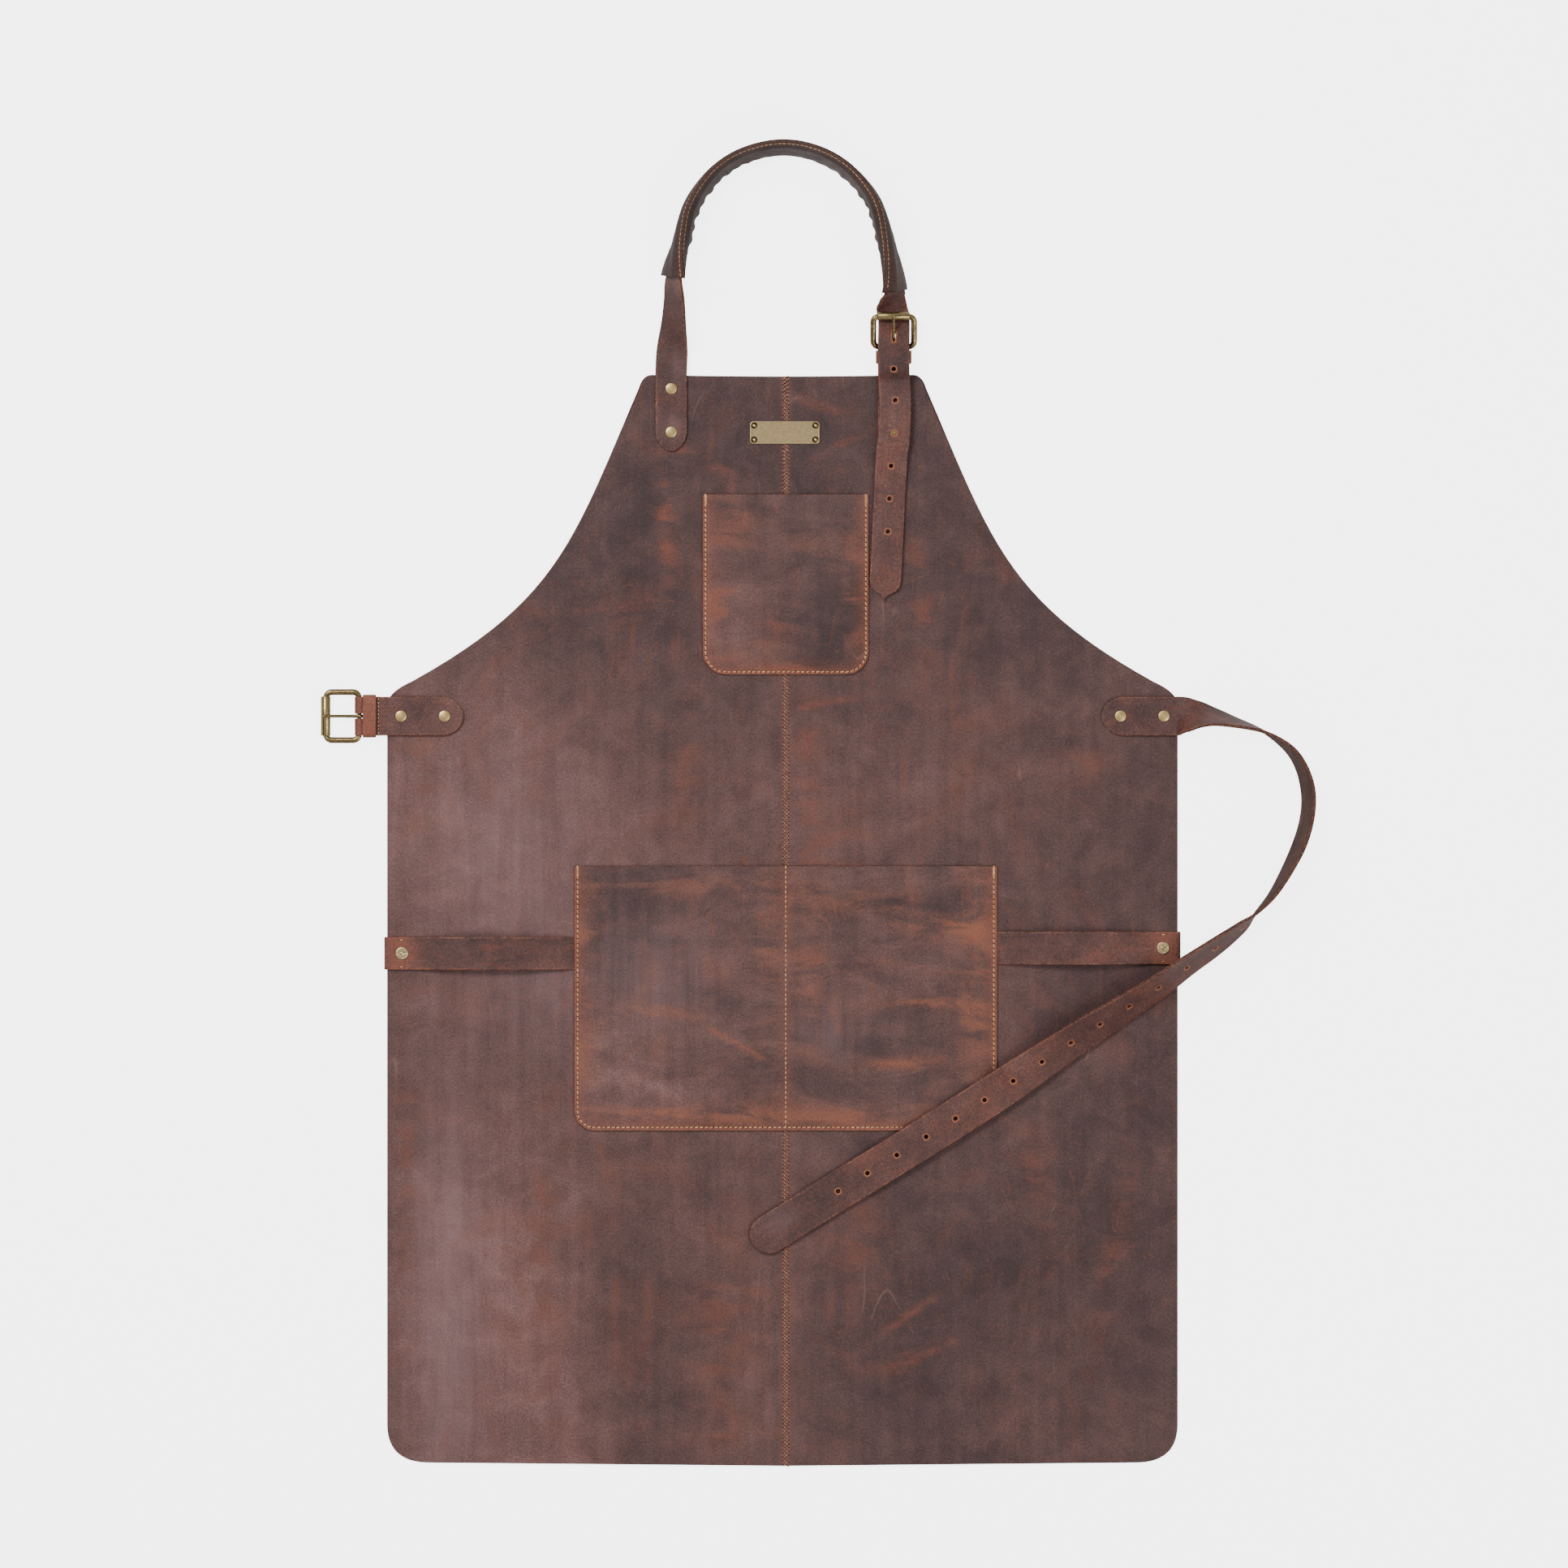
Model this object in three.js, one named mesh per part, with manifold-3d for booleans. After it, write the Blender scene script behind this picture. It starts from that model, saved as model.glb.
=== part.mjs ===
// Butcher apron in oiled leather, lying on its flesh side with its straps laid out.
// Millimetres. +Z is up, +Y runs from hem to bib, and z = 0 is the surface that the apron lies on.
// The origin is the middle of the body's underside.

import * as THREE from "three";
import { mergeVertices } from "three/addons/utils/BufferGeometryUtils.js";
import Module from "manifold-3d";

const wasm = await Module();
wasm.setup();

// ---------------------------------------------------------------- driving dimensions

// Body, cut from two hides that meet at a seam just right of the middle
const BODY_WIDTH = 600;
const BODY_LENGTH = 828;
const BODY_THICK = 1.8;
const SEAM_X = 2.5;
const BIB_HALF_WIDTH = 99; // straight part of the top edge
const BIB_DISH = 1.2; // the top edge dips this much at the seam
const BIB_CORNER = 10;
const ARMHOLE_DROP = 233; // from the top edge down to the foot of the armhole
const SIDE_SHOULDER = 18; // the armhole turns into the straight side over this length
const HEM_CORNER = 32;
const HEM_POINT = 2.5; // the hem drops this much from its corners to the seam

// Straps and their riveted ends, the same on all four
const STRAP_THICK = 2.6;
const NECK_STRAP_WIDTH = 24;
const WAIST_STRAP_WIDTH = 29.5;
const NECK_STRAP_X = 84.4;
const NECK_RISE = 172; // from the top edge to the crown of the neck arch
const WAIST_DROP = 259; // from the top edge down to the waist straps
const STRAP_END = 58; // length riveted on the body
const RIVET_INSET = 10.5; // first rivet from the body's edge
const RIVET_SPACING = 33;
const TIP_LENGTH = 16;
const HOLE_RADIUS = 1.8;
const NECK_HOLES = 6;
const NECK_HOLE_SPACING = 25;
const WAIST_HOLES = 15;
const WAIST_HOLE_SPACING = 26.2;

// Buckles: the strap folds round the heel bar and its thinned return is sewn under itself
const FOLD_THICK = 1.5;
const HEEL_BAR_RADIUS = 1.7;
const HEEL_REACH = 21; // heel bar from the body's edge
const ROLLER_BAR_RADIUS = 1.9;
const SIDE_WIRE = 4.6;
const SIDE_HEIGHT = 4.2;
const FRAME_CLEARANCE = 1.2; // strap edge to frame side
const WAIST_BAR_SPACING = 25.6;
const NECK_BAR_SPACING = 24.5;
const WAIST_ROLLER_RADIUS = 3.65;
const NECK_ROLLER_RADIUS = 3.2;
const ROLLER_END_GAP = 1.0;
const WAIST_TILT = -2.5; // degrees, roller above the heel bar is positive
const NECK_TILT = 18;
const PRONG_RADIUS = 1.2;
const PRONG_EYE_WALL = 1.5;
const PRONG_OVERHANG = 2.2; // the tip reaches this far past the roller's middle
const KEEPER_THICK = 1.2;
const KEEPER_LENGTH = 9.9;
const KEEPER_START = 8.4; // from the body's edge
const KEEPER_SIDE_GAP = 0.4;
const KEEPER_ROOM = 0.7; // free height over the folded strap

// Neck sleeve: a leather tube round the strap, its edges sewn together along the top
const SLEEVE_HALF_THICK = 5;
const SLEEVE_WALL_BELOW = 1.9;
const FLANGE_REACH = 5.2; // sewn flange above the strap's edge
const FLANGE_HALF_THICK = 1.45;

// Pockets, pressed out so that each one is open at its mouth
const POCKET_THICK = 1.6;
const POCKET_RIM = 5;
const POCKET_PUFF = 0.8;
const CHEST_POCKET_WIDTH = 126;
const CHEST_POCKET_HEIGHT = 137;
const CHEST_POCKET_DROP = 90.6;
const CHEST_POCKET_CORNER = 17;
const LOWER_POCKET_WIDTH = 321;
const LOWER_POCKET_HEIGHT = 201;
const LOWER_POCKET_DROP = 372.7;
const LOWER_POCKET_CORNER = 15;

// Towel loops: folded round the side edge, bowed, and caught under the lower pocket's rim
const LOOP_WIDTH = 25;
const LOOP_THICK = 2.2;
const LOOP_BOW = 6.5;
const LOOP_DROP = { left: 66.3, right: 62.3 }; // centre line below the pocket's mouth
const LOOP_RETURN = 22;
const LOOP_RETURN_THICK = 0.8;
const LOOP_TUCK = 4.6;
const LOOP_TUCK_THICK = 0.9;
const LOOP_CLAMP = 20; // flat stretch under the stud
const STUD_INSET = 11.2;
const STUD_RADIUS = 4.6;

// Rivets, studs, name plate
const RIVET_CAP_RADIUS = 4.35;
const RIVET_CAP_HEIGHT = 1.3;
const RIVET_FLANGE_RADIUS = 4.1;
const RIVET_FLANGE_THICK = 0.6;
const SHANK_RADIUS = 1.4;
const SOCKET_DEPTH = 0.4;
const PLATE_WIDTH = 53;
const PLATE_HEIGHT = 17.2;
const PLATE_THICK = 1.0;
const PLATE_CORNER = 2.4;
const PLATE_DROP = 43.8; // plate centre below the top edge
const PLATE_PIN_INSET = 3.2;
const PLATE_PIN_RADIUS = 0.8;
const PLATE_PIN_HEAD = 1.7;

const GAP = 0.3; // between pieces that are not pressed together
const STATION_PACE = 6.5; // along a strap, from one cross-section to the next
const ROUND = 16; // sides of a small round piece
const FINE = 24; // sides of a roller

// ---------------------------------------------------------------- places worked out from them

const TOP_Y = BODY_LENGTH / 2;
const EDGE_X = BODY_WIDTH / 2;
const WAIST_Y = TOP_Y - WAIST_DROP;
const STRAP_TOP = BODY_THICK + STRAP_THICK;
const FOLD_INNER = HEEL_BAR_RADIUS + GAP;
const RETURN_BOTTOM = KEEPER_THICK + 0.1 + GAP;
const HEEL_Z = RETURN_BOTTOM + FOLD_THICK + FOLD_INNER;
const FOLD_TOP = HEEL_Z + FOLD_INNER + FOLD_THICK;
const KEEPER_TOP = FOLD_TOP + KEEPER_ROOM + KEEPER_THICK;
const POCKET_TOP = BODY_THICK + POCKET_THICK + POCKET_PUFF;
const CAP_TOP = STRAP_TOP + RIVET_CAP_HEIGHT;

const chestPocket = {
  width: CHEST_POCKET_WIDTH,
  height: CHEST_POCKET_HEIGHT,
  corner: CHEST_POCKET_CORNER,
  top: TOP_Y - CHEST_POCKET_DROP,
  chambers: 1,
};
const lowerPocket = {
  width: LOWER_POCKET_WIDTH,
  height: LOWER_POCKET_HEIGHT,
  corner: LOWER_POCKET_CORNER,
  top: TOP_Y - LOWER_POCKET_DROP,
  chambers: 2,
};

// ---------------------------------------------------------------- finishes

const finish = (color, roughness, metalness) => ({ color, roughness, metalness });
const HIDE = finish("#6f5554", 0.55, 0);
const POCKET_HIDE = finish("#745852", 0.55, 0);
const STRAP_HIDE = finish("#5f4743", 0.5, 0);
const SLEEVE_HIDE = finish("#483d3a", 0.6, 0);
const BRASS = finish("#9a8358", 0.35, 1);
const PALE_BRASS = finish("#c9b08a", 0.4, 1);

// ---------------------------------------------------------------- solids and meshes

// A closed three.js geometry as a manifold-3d solid.
function solid(geometry) {
  const bare = geometry.index ? geometry.toNonIndexed() : geometry.clone();
  bare.deleteAttribute("normal");
  bare.deleteAttribute("uv");
  const merged = mergeVertices(bare, 1e-4);
  return new wasm.Manifold(
    new wasm.Mesh({
      numProp: 3,
      vertProperties: merged.attributes.position.array,
      triVerts: new Uint32Array(merged.index.array),
    }),
  );
}

function geometryOf(body) {
  const { vertProperties, numProp, numVert, triVerts } = body.getMesh();
  const positions = new Float32Array(numVert * 3);
  for (let i = 0; i < numVert; i++) {
    positions.set(vertProperties.subarray(i * numProp, i * numProp + 3), i * 3);
  }
  const geometry = new THREE.BufferGeometry();
  geometry.setAttribute("position", new THREE.BufferAttribute(positions, 3));
  geometry.setIndex(new THREE.BufferAttribute(triVerts, 1));
  geometry.computeVertexNormals();
  return geometry;
}

function piece(name, body, look) {
  const mesh = new THREE.Mesh(geometryOf(body), new THREE.MeshStandardMaterial(look));
  mesh.name = name;
  return mesh;
}

// A plan shape raised from z0 to z1.
function slab(shape, z0, z1, curveSegments = 8) {
  const geometry = new THREE.ExtrudeGeometry(shape, {
    depth: z1 - z0,
    bevelEnabled: false,
    curveSegments,
  });
  return solid(geometry.translate(0, 0, z0));
}

function box(x0, x1, y0, y1, z0, z1) {
  const geometry = new THREE.BoxGeometry(x1 - x0, y1 - y0, z1 - z0);
  return solid(geometry.translate((x0 + x1) / 2, (y0 + y1) / 2, (z0 + z1) / 2));
}

// An upright cylinder.
function post(x, y, radius, z0, z1, sides = ROUND) {
  const geometry = new THREE.CylinderGeometry(radius, radius, z1 - z0, sides);
  return solid(geometry.rotateX(Math.PI / 2).translate(x, y, (z0 + z1) / 2));
}

// A cylinder along Y, centred on (x, 0, z).
function barAlongY(x, z, radius, length, sides = ROUND) {
  const geometry = new THREE.CylinderGeometry(radius, radius, length, sides);
  return solid(geometry.translate(x, 0, z));
}

// A profile drawn in X and Z, made `width` wide along Y about y = 0.
function widthOf(profile, width, curveSegments = 10) {
  const geometry = new THREE.ExtrudeGeometry(profile, {
    depth: width,
    bevelEnabled: false,
    curveSegments,
  });
  return solid(geometry.rotateX(Math.PI / 2).translate(0, width / 2, 0));
}

// A turned piece standing on z0; the profile lists [radius, height] and closes on the axis.
function turned(profile, z0, sides = ROUND) {
  const points = profile.map(([radius, height]) => new THREE.Vector2(radius, height));
  return solid(new THREE.LatheGeometry(points, sides).rotateX(Math.PI / 2).translate(0, 0, z0));
}

const roundedRectangle = (x0, y0, x1, y1, radius) => {
  const shape = new THREE.Shape();
  shape.moveTo(x0 + radius, y0).lineTo(x1 - radius, y0);
  shape.absarc(x1 - radius, y0 + radius, radius, -Math.PI / 2, 0);
  shape.lineTo(x1, y1 - radius);
  shape.absarc(x1 - radius, y1 - radius, radius, 0, Math.PI / 2);
  shape.lineTo(x0 + radius, y1);
  shape.absarc(x0 + radius, y1 - radius, radius, Math.PI / 2, Math.PI);
  shape.lineTo(x0, y0 + radius);
  shape.absarc(x0 + radius, y0 + radius, radius, Math.PI, 1.5 * Math.PI);
  return shape;
};

// ---------------------------------------------------------------- strap tips

// What is cut away round a tip that points along +Y from y = 0 to y = length.
// `blunt` is the share of the half width over which the end is nearly square.
function tipWaste(width, length, blunt, ogee = false) {
  const half = width / 2;
  const margin = 4;
  const shape = new THREE.Shape();
  shape.moveTo(-half - margin, 0).lineTo(-half, 0);
  if (ogee) {
    shape.bezierCurveTo(-half * 0.95, length * 0.8, -half * 0.25, length * 0.5, 0, length);
    shape.bezierCurveTo(half * 0.25, length * 0.5, half * 0.95, length * 0.8, half, 0);
  } else {
    shape.bezierCurveTo(-half, length * 0.55, -half * blunt, length, 0, length);
    shape.bezierCurveTo(half * blunt, length, half, length * 0.55, half, 0);
  }
  shape.lineTo(half + margin, 0);
  shape.lineTo(half + margin, length + margin);
  shape.lineTo(-half - margin, length + margin);
  return slab(shape, -10, 20, 5);
}

// The waste of a tip at (x, y) that points at `angle` degrees from +Y.
function tipWasteAt(x, y, angle, width, length, blunt, ogee) {
  const turn = THREE.MathUtils.degToRad(angle);
  return tipWaste(width, length, blunt, ogee)
    .translate([0, -length, 0])
    .rotate([0, 0, angle])
    .translate([x - Math.sin(turn) * 0.01, y + Math.cos(turn) * 0.01, 0]);
}

// ---------------------------------------------------------------- routes of twisting straps

// Heights and rolls run between their keys without overshoot.
function steadyCurve(values) {
  const last = values.length - 1;
  const rise = values.slice(1).map((value, i) => value - values[i]);
  const slope = values.map((_, i) => {
    if (i === 0 || i === last || rise[i - 1] * rise[i] <= 0) return 0;
    return (2 * rise[i - 1] * rise[i]) / (rise[i - 1] + rise[i]);
  });
  return (at) => {
    const i = Math.min(Math.floor(at), last - 1);
    const t = at - i;
    const t2 = t * t;
    const t3 = t2 * t;
    return (
      values[i] * (2 * t3 - 3 * t2 + 1) +
      slope[i] * (t3 - 2 * t2 + t) +
      values[i + 1] * (3 * t2 - 2 * t3) +
      slope[i + 1] * (t3 - t2)
    );
  };
}

// Keys are [x, y, z, roll]; a roll lifts the strap's right-hand edge, in degrees.
function makeRoute(keys) {
  const spans = keys.length - 1;
  const plan = new THREE.CatmullRomCurve3(
    keys.map(([x, y]) => new THREE.Vector3(x, y, 0)),
    false,
    "centripetal",
  );
  const height = steadyCurve(keys.map((key) => key[2]));
  const roll = steadyCurve(keys.map((key) => key[3]));
  const point = (t) => {
    const p = plan.getPoint(t);
    p.z = height(t * spans);
    return p;
  };

  function frame(t) {
    const step = 1e-4;
    const ahead = point(Math.min(t + step, 1)).sub(point(Math.max(t - step, 0))).normalize();
    const right = new THREE.Vector3().crossVectors(ahead, new THREE.Vector3(0, 0, 1)).normalize();
    const up = new THREE.Vector3().crossVectors(right, ahead);
    const angle = THREE.MathUtils.degToRad(roll(t * spans));
    const across = right.clone().multiplyScalar(Math.cos(angle));
    across.addScaledVector(up, Math.sin(angle));
    const normal = right.multiplyScalar(-Math.sin(angle)).addScaledVector(up, Math.cos(angle));
    return { at: point(t), across, normal, ahead };
  }

  const samples = 40 * spans;
  const lengths = [0];
  for (let i = 1; i <= samples; i++) {
    lengths.push(lengths[i - 1] + point(i / samples).distanceTo(point((i - 1) / samples)));
  }
  const length = lengths[samples];
  const paramAt = (distance) => {
    const i = Math.max(1, lengths.findIndex((value) => value >= Math.min(distance, length)));
    return (i - 1 + (distance - lengths[i - 1]) / (lengths[i] - lengths[i - 1])) / samples;
  };
  // The distance along the route at which it passes nearest a point in plan.
  const distanceNear = (x, y) => {
    const away = lengths.map((_, i) => {
      const p = point(i / samples);
      return Math.hypot(p.x - x, p.y - y);
    });
    return lengths[away.indexOf(Math.min(...away))];
  };
  const stations = Math.round(length / STATION_PACE);
  const stationNear = (x, y) => Math.round((distanceNear(x, y) / length) * stations);
  return { frame, length, paramAt, distanceNear, stations, stationNear };
}

// A section of [across, normal] points, listed anticlockwise, carried along a route between
// two of its stations. Pieces on one route share its stations, so that they nest exactly.
function sweep(route, section, from = 0, to = route.stations) {
  const steps = to - from;
  const count = section.length;
  const positions = [];
  const faces = [];
  for (let i = 0; i <= steps; i++) {
    const distance = ((from + i) / route.stations) * route.length;
    const { at, across, normal } = route.frame(route.paramAt(distance));
    for (const [w, n] of section) {
      const p = at.clone().addScaledVector(across, w).addScaledVector(normal, n);
      positions.push(p.x, p.y, p.z);
    }
  }
  for (let i = 0; i < steps; i++) {
    for (let j = 0; j < count; j++) {
      const a = i * count + j;
      const b = i * count + ((j + 1) % count);
      faces.push(a, a + count, b, b, a + count, b + count);
    }
  }
  const outline = section.map(([w, n]) => new THREE.Vector2(w, n));
  const end = steps * count;
  for (const [a, b, c] of THREE.ShapeUtils.triangulateShape(outline, [])) {
    faces.push(a, b, c, end + c, end + b, end + a);
  }
  const geometry = new THREE.BufferGeometry();
  geometry.setAttribute("position", new THREE.Float32BufferAttribute(positions, 3));
  geometry.setIndex(faces);
  return solid(geometry);
}

const flatSection = (width, thick) => [
  [-width / 2, -thick / 2],
  [width / 2, -thick / 2],
  [width / 2, thick / 2],
  [-width / 2, thick / 2],
];

// A punched hole through a strap on a route, `stretch` times as long as it is wide.
function punch(route, distance, radius, stretch = 1) {
  const { at, across, normal } = route.frame(route.paramAt(distance));
  const along = new THREE.Vector3().crossVectors(across, normal);
  const cutter = new THREE.CylinderGeometry(radius, radius, 4 * STRAP_THICK, 10);
  cutter.scale(1, 1, stretch);
  cutter.applyMatrix4(new THREE.Matrix4().makeBasis(across, normal, along).setPosition(at));
  return solid(cutter);
}

// Height of a strap's middle when its low edge stands `base` above the table.
function standing(base, roll, width) {
  const angle = THREE.MathUtils.degToRad(roll);
  const lift = (width / 2) * Math.sin(angle);
  return base + lift + (STRAP_THICK / 2) * Math.abs(Math.cos(angle));
}

// ---------------------------------------------------------------- body

function bodyOutline() {
  const armholeY = TOP_Y - ARMHOLE_DROP;
  const bottomY = -TOP_Y;
  const armX = BIB_HALF_WIDTH + BIB_CORNER;
  const footX = EDGE_X - SIDE_SHOULDER;
  const shape = new THREE.Shape();
  shape.moveTo(BIB_HALF_WIDTH, TOP_Y);
  shape.quadraticCurveTo(armX - 3, TOP_Y, armX, TOP_Y - BIB_CORNER);
  const deep = ARMHOLE_DROP / 2;
  shape.bezierCurveTo(armX + 50, TOP_Y - deep - 10, armX + 61, armholeY + 62, footX, armholeY);
  shape.quadraticCurveTo(EDGE_X, armholeY - 8, EDGE_X, armholeY - SIDE_SHOULDER);
  shape.lineTo(EDGE_X, bottomY + HEM_CORNER);
  shape.quadraticCurveTo(EDGE_X, bottomY + HEM_POINT, EDGE_X - HEM_CORNER, bottomY + HEM_POINT);
  shape.lineTo(SEAM_X, bottomY);
  shape.lineTo(HEM_CORNER - EDGE_X, bottomY + HEM_POINT);
  shape.quadraticCurveTo(-EDGE_X, bottomY + HEM_POINT, -EDGE_X, bottomY + HEM_CORNER);
  shape.lineTo(-EDGE_X, armholeY - SIDE_SHOULDER);
  shape.quadraticCurveTo(-EDGE_X, armholeY - 8, -footX, armholeY);
  shape.bezierCurveTo(-armX - 61, armholeY + 62, -armX - 50, TOP_Y - deep - 10, -armX, TOP_Y - BIB_CORNER);
  shape.quadraticCurveTo(3 - armX, TOP_Y, -BIB_HALF_WIDTH, TOP_Y);
  shape.quadraticCurveTo(SEAM_X, TOP_Y - 2 * BIB_DISH, BIB_HALF_WIDTH, TOP_Y);
  return shape;
}

// Everything that is punched, sunk or pared away from the body's hide.
const bodyCuts = [];

// ---------------------------------------------------------------- rivets and studs

const fixings = new THREE.Group();

// A domed cap whose socket takes the end of a shank.
function capBody(radius, height, socketRadius) {
  const profile = [
    [0, SOCKET_DEPTH],
    [socketRadius, SOCKET_DEPTH],
    [socketRadius, 0],
    [radius, 0],
    [radius, height * 0.35],
    [radius * 0.72, height * 0.82],
    [0, height],
  ];
  return turned(profile, 0);
}

// A post with a flat flange at the bottom, sunk in the flesh side.
function postBody(flangeRadius, flangeThick, shankTop) {
  const profile = [
    [0, 0],
    [flangeRadius, 0],
    [flangeRadius, flangeThick],
    [SHANK_RADIUS, flangeThick],
    [SHANK_RADIUS, shankTop],
    [0, shankTop],
  ];
  return turned(profile, 0);
}

const socketRadius = SHANK_RADIUS + 0.15;

// A rivet through the strap at (x, y); returns the hole that the strap needs.
function addRivet(name, x, y) {
  const cap = piece(
    name + "_cap",
    capBody(RIVET_CAP_RADIUS, RIVET_CAP_HEIGHT, socketRadius),
    PALE_BRASS,
  );
  cap.position.set(x, y, STRAP_TOP);
  const shankTop = STRAP_TOP + SOCKET_DEPTH - 0.1;
  const foot = piece(name + "_post", postBody(RIVET_FLANGE_RADIUS, RIVET_FLANGE_THICK, shankTop), BRASS);
  foot.position.set(x, y, 0);
  fixings.add(cap, foot);
  bodyCuts.push(post(x, y, SHANK_RADIUS + GAP, -1, 3));
  bodyCuts.push(post(x, y, RIVET_FLANGE_RADIUS + GAP, -1, RIVET_FLANGE_THICK));
  return post(x, y, SHANK_RADIUS + GAP, 0, 8);
}

// A screw stud with a crossed recess, through the loop at (x, y).
function addStud(name, x, y) {
  const top = BODY_THICK + LOOP_THICK;
  const height = RIVET_CAP_HEIGHT;
  const slot = 0.9;
  const arm = STUD_RADIUS * 0.72;
  const recess = box(-arm, arm, -slot / 2, slot / 2, height * 0.55, height + 1).add(
    box(-slot / 2, slot / 2, -arm, arm, height * 0.55, height + 1),
  );
  const head = piece(
    name + "_head",
    capBody(STUD_RADIUS, height, socketRadius).subtract(recess),
    PALE_BRASS,
  );
  head.position.set(x, y, top);
  const foot = piece(
    name + "_post",
    postBody(STUD_RADIUS, LOOP_RETURN_THICK, top + SOCKET_DEPTH - 0.1),
    BRASS,
  );
  foot.position.set(x, y, 0);
  fixings.add(head, foot);
  bodyCuts.push(post(x, y, SHANK_RADIUS + GAP, -1, 3));
  return post(x, y, SHANK_RADIUS + GAP, BODY_THICK - 0.5, 8).add(
    post(x, y, STUD_RADIUS + GAP, -1, LOOP_RETURN_THICK + 0.2),
  );
}

// ---------------------------------------------------------------- buckles

// Side view of the strap's end, u outwards from the body's edge and z up: over the body,
// up a ramp, round the heel bar, and back under itself as a thinned return.
function foldedProfile() {
  const returnTop = RETURN_BOTTOM + FOLD_THICK;
  const bearing = returnTop + GAP; // the upper layer's underside over the return
  const foldOuter = FOLD_INNER + FOLD_THICK;
  const flat = 9;
  const ramp = 4.3;
  const profile = new THREE.Shape();
  profile.moveTo(-STRAP_END, BODY_THICK).lineTo(GAP, BODY_THICK);
  profile.lineTo(ramp, bearing).lineTo(flat, bearing);
  const half = (flat + HEEL_REACH) / 2;
  const eyeTop = HEEL_Z + FOLD_INNER;
  profile.bezierCurveTo(half, bearing, half, eyeTop, HEEL_REACH, eyeTop);
  profile.absarc(HEEL_REACH, HEEL_Z, FOLD_INNER, Math.PI / 2, -Math.PI / 2, true);
  profile.lineTo(ramp + GAP, returnTop).lineTo(ramp + GAP, RETURN_BOTTOM);
  profile.lineTo(HEEL_REACH, RETURN_BOTTOM);
  profile.absarc(HEEL_REACH, HEEL_Z, foldOuter, -Math.PI / 2, Math.PI / 2, false);
  profile.bezierCurveTo(half, FOLD_TOP, half, bearing + STRAP_THICK, flat, bearing + STRAP_THICK);
  profile.lineTo(ramp, bearing + STRAP_THICK).lineTo(GAP, STRAP_TOP).lineTo(-STRAP_END, STRAP_TOP);
  return profile;
}

const eyeRadius = HEEL_BAR_RADIUS + 0.25 + PRONG_EYE_WALL;
const prongSlot = 2 * PRONG_RADIUS + 1.4;

function foldedStrap(width, rivetHoles) {
  const slot = box(
    HEEL_REACH - eyeRadius - 0.8,
    HEEL_REACH + 8,
    -prongSlot / 2,
    prongSlot / 2,
    -1,
    FOLD_TOP + 2,
  );
  let strap = widthOf(foldedProfile(), width).subtract(slot);
  strap = strap.subtract(tipWasteAt(-STRAP_END, 0, 90, width, TIP_LENGTH, 0.45, false));
  for (const hole of rivetHoles) strap = strap.subtract(hole);
  return strap;
}

function keeperBody(width) {
  const half = width / 2 + KEEPER_SIDE_GAP;
  const outer = roundedRectangle(
    -half - KEEPER_THICK,
    0.1,
    half + KEEPER_THICK,
    KEEPER_TOP,
    1.6,
  );
  const inner = roundedRectangle(-half, 0.1 + KEEPER_THICK, half, KEEPER_TOP - KEEPER_THICK, 0.6);
  outer.holes.push(inner);
  const geometry = new THREE.ExtrudeGeometry(outer, {
    depth: KEEPER_LENGTH,
    bevelEnabled: false,
    curveSegments: 3,
  });
  const turn = new THREE.Matrix4().makeBasis(
    new THREE.Vector3(0, 1, 0),
    new THREE.Vector3(0, 0, 1),
    new THREE.Vector3(1, 0, 0),
  );
  return solid(geometry.applyMatrix4(turn).translate(KEEPER_START, 0, 0));
}

// The frame lies with its heel bar on the origin and its roller bar at +X.
function frameBody(width, spacing) {
  const inner = width / 2 + FRAME_CLEARANCE;
  const outer = inner + SIDE_WIRE;
  const end = SIDE_WIRE / 2;
  const ring = roundedRectangle(-end, -outer, spacing + end, outer, 6);
  ring.holes.push(roundedRectangle(end, -inner, spacing - end, inner, 1.5));
  const bevel = 1.2;
  const rounded = new THREE.ExtrudeGeometry(ring, {
    depth: SIDE_HEIGHT - 2 * bevel,
    bevelThickness: bevel,
    bevelSize: bevel,
    bevelOffset: -bevel,
    bevelSegments: 2,
    curveSegments: 5,
  });
  const sides = solid(rounded.translate(0, 0, bevel - SIDE_HEIGHT / 2));
  const heelGap = box(-6, 6, -inner, inner, -5, 5);
  const rollerGap = box(spacing - 6, spacing + 6, -inner, inner, -5, 5);
  return sides
    .subtract(heelGap)
    .subtract(rollerGap)
    .add(barAlongY(0, 0, HEEL_BAR_RADIUS, 2 * inner + 2))
    .add(barAlongY(spacing, 0, ROLLER_BAR_RADIUS, 2 * inner + 2));
}

function rollerBody(width, spacing, radius) {
  const length = width + 2 * FRAME_CLEARANCE - 2 * ROLLER_END_GAP;
  const bore = barAlongY(spacing, 0, ROLLER_BAR_RADIUS + GAP, length + 2, FINE);
  return barAlongY(spacing, 0, radius, length, FINE).subtract(bore);
}

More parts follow.
